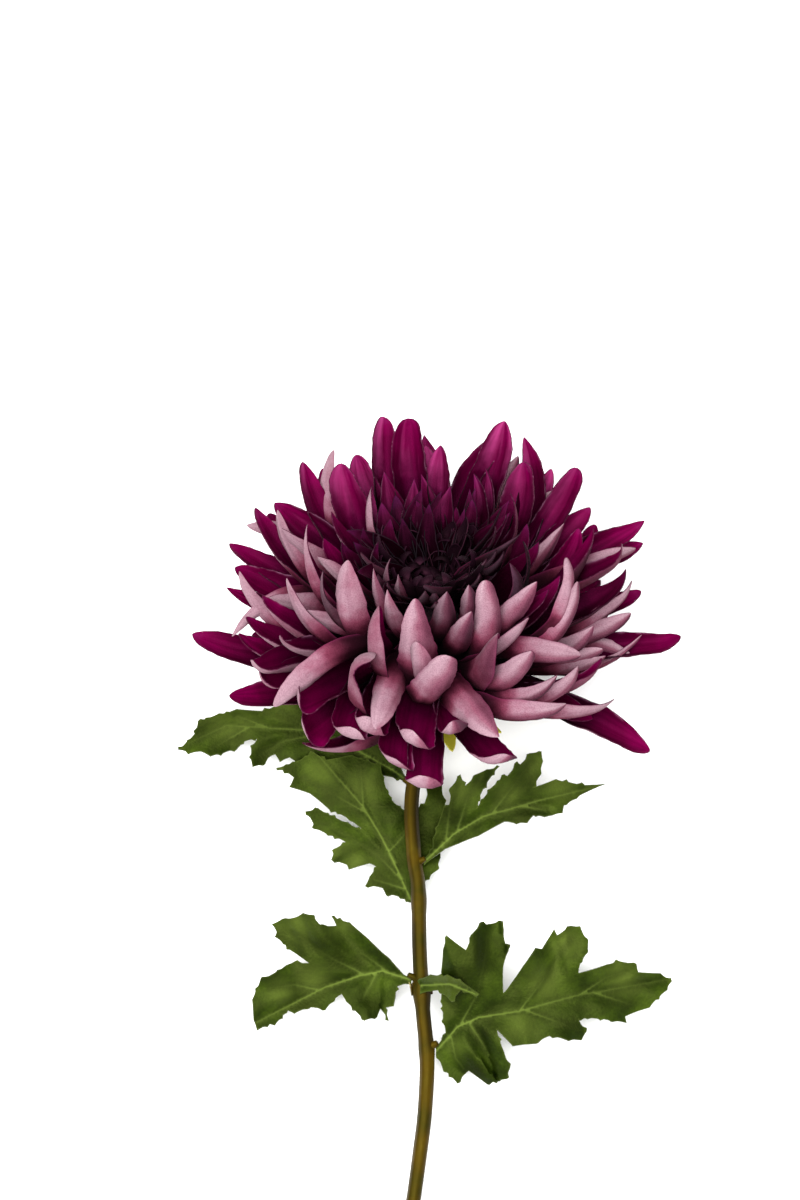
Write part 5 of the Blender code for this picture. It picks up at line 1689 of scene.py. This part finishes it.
def leafUnderside():
    # the same cloth uncoated: greyer, matt
    made, tree, (vein,) = newMaterial("mattLeafReverse", "vein")
    green = addNode(tree, "ValToRGB", (grain(tree, 0.12, 3.0),), stops=((0.3, "#2b3916"), (0.7, "#415126")))
    colour = coats(tree, green, (vein, "#65733e", "MIX"))
    sockets = {"Base Color": colour, "Roughness": 0.75, "Specular IOR Level": 0.2}
    return finish(made, sockets, grain(tree, 2.0, 2.0), 0.1)


leafMaterials = (leafCloth(), leafUnderside())
for number, (name, leaf) in enumerate(leaves.items()):
    makeLeaf(name, leaf, leafMaterials, seeds["leaves"] + number)


# Floor, light and camera, in metres

studio = {
    "floor": 2.5,
    "floorDrop": 0.0003,
    "floorColour": "#f4f4f4",
    "worldStrength": 0.85,
    # place, power and size of each lamp
    "lamps": {"keyLight": ((-0.33, -0.12, 1.38), 48.0, 1.1), "fillLight": ((0.6, -0.3, 1.2), 8.0, 1.1)},
    "lens": 135,
    "sensor": 36,
    "viewHeight": 0.3684,
    "viewMiddle": (-11.05, 12.6, 0),    # x, y, z in the flower's plane, in mm
}


def whitePaper():
    # seamless white paper sweep
    made, tree, _ = newMaterial("whitePaper")
    stops = ((0.0, studio["floorColour"]), (1.0, "#fafafa"))
    colour = addNode(tree, "ValToRGB", (grain(tree, 0.01),), stops=stops)
    return finish(made, {"Base Color": colour, "Roughness": 0.9})


def makeStudio():
    bpy.ops.mesh.primitive_plane_add(size=2 * studio["floor"], location=(0, 0, -studio["floorDrop"]))
    floor = bpy.context.object
    floor.name = "paperFloor"
    keepSelected(floor)
    bpy.ops.object.transform_apply(location=True, rotation=True, scale=True)
    floor.data.materials.append(whitePaper())
    scene = bpy.context.scene
    scene.view_settings.view_transform = "Standard"
    scene.world = bpy.data.worlds.new("softbox")
    scene.world.use_nodes = True
    background = {"Color": "#ffffff", "Strength": studio["worldStrength"]}
    setInputs(scene.world.node_tree, scene.world.node_tree.nodes["Background"], background)
    for name, (place, power, size) in studio["lamps"].items():
        light = bpy.data.lights.new(name, "AREA")
        light.energy = power
        light.size = size
        lamp = pieceFrom(name, light)
        lamp.location = place
        lamp.rotation_euler = (-Vector(place)).to_track_quat("-Z", "Y").to_euler()


def makeCamera():
    camera = bpy.data.cameras.new("camera")
    camera.lens = studio["lens"]
    camera.sensor_width = studio["sensor"]
    eye = pieceFrom("camera", camera)
    middle = (planePoint(*studio["viewMiddle"]) + shift) * toMetres
    eye.location = middle + planeOut * (studio["viewHeight"] * studio["lens"] / studio["sensor"])
    eye.rotation_euler = planeOut.to_track_quat("Z", "Y").to_euler()
    bpy.context.scene.camera = eye


makeStudio()
makeCamera()
print("floor, light and camera are set")
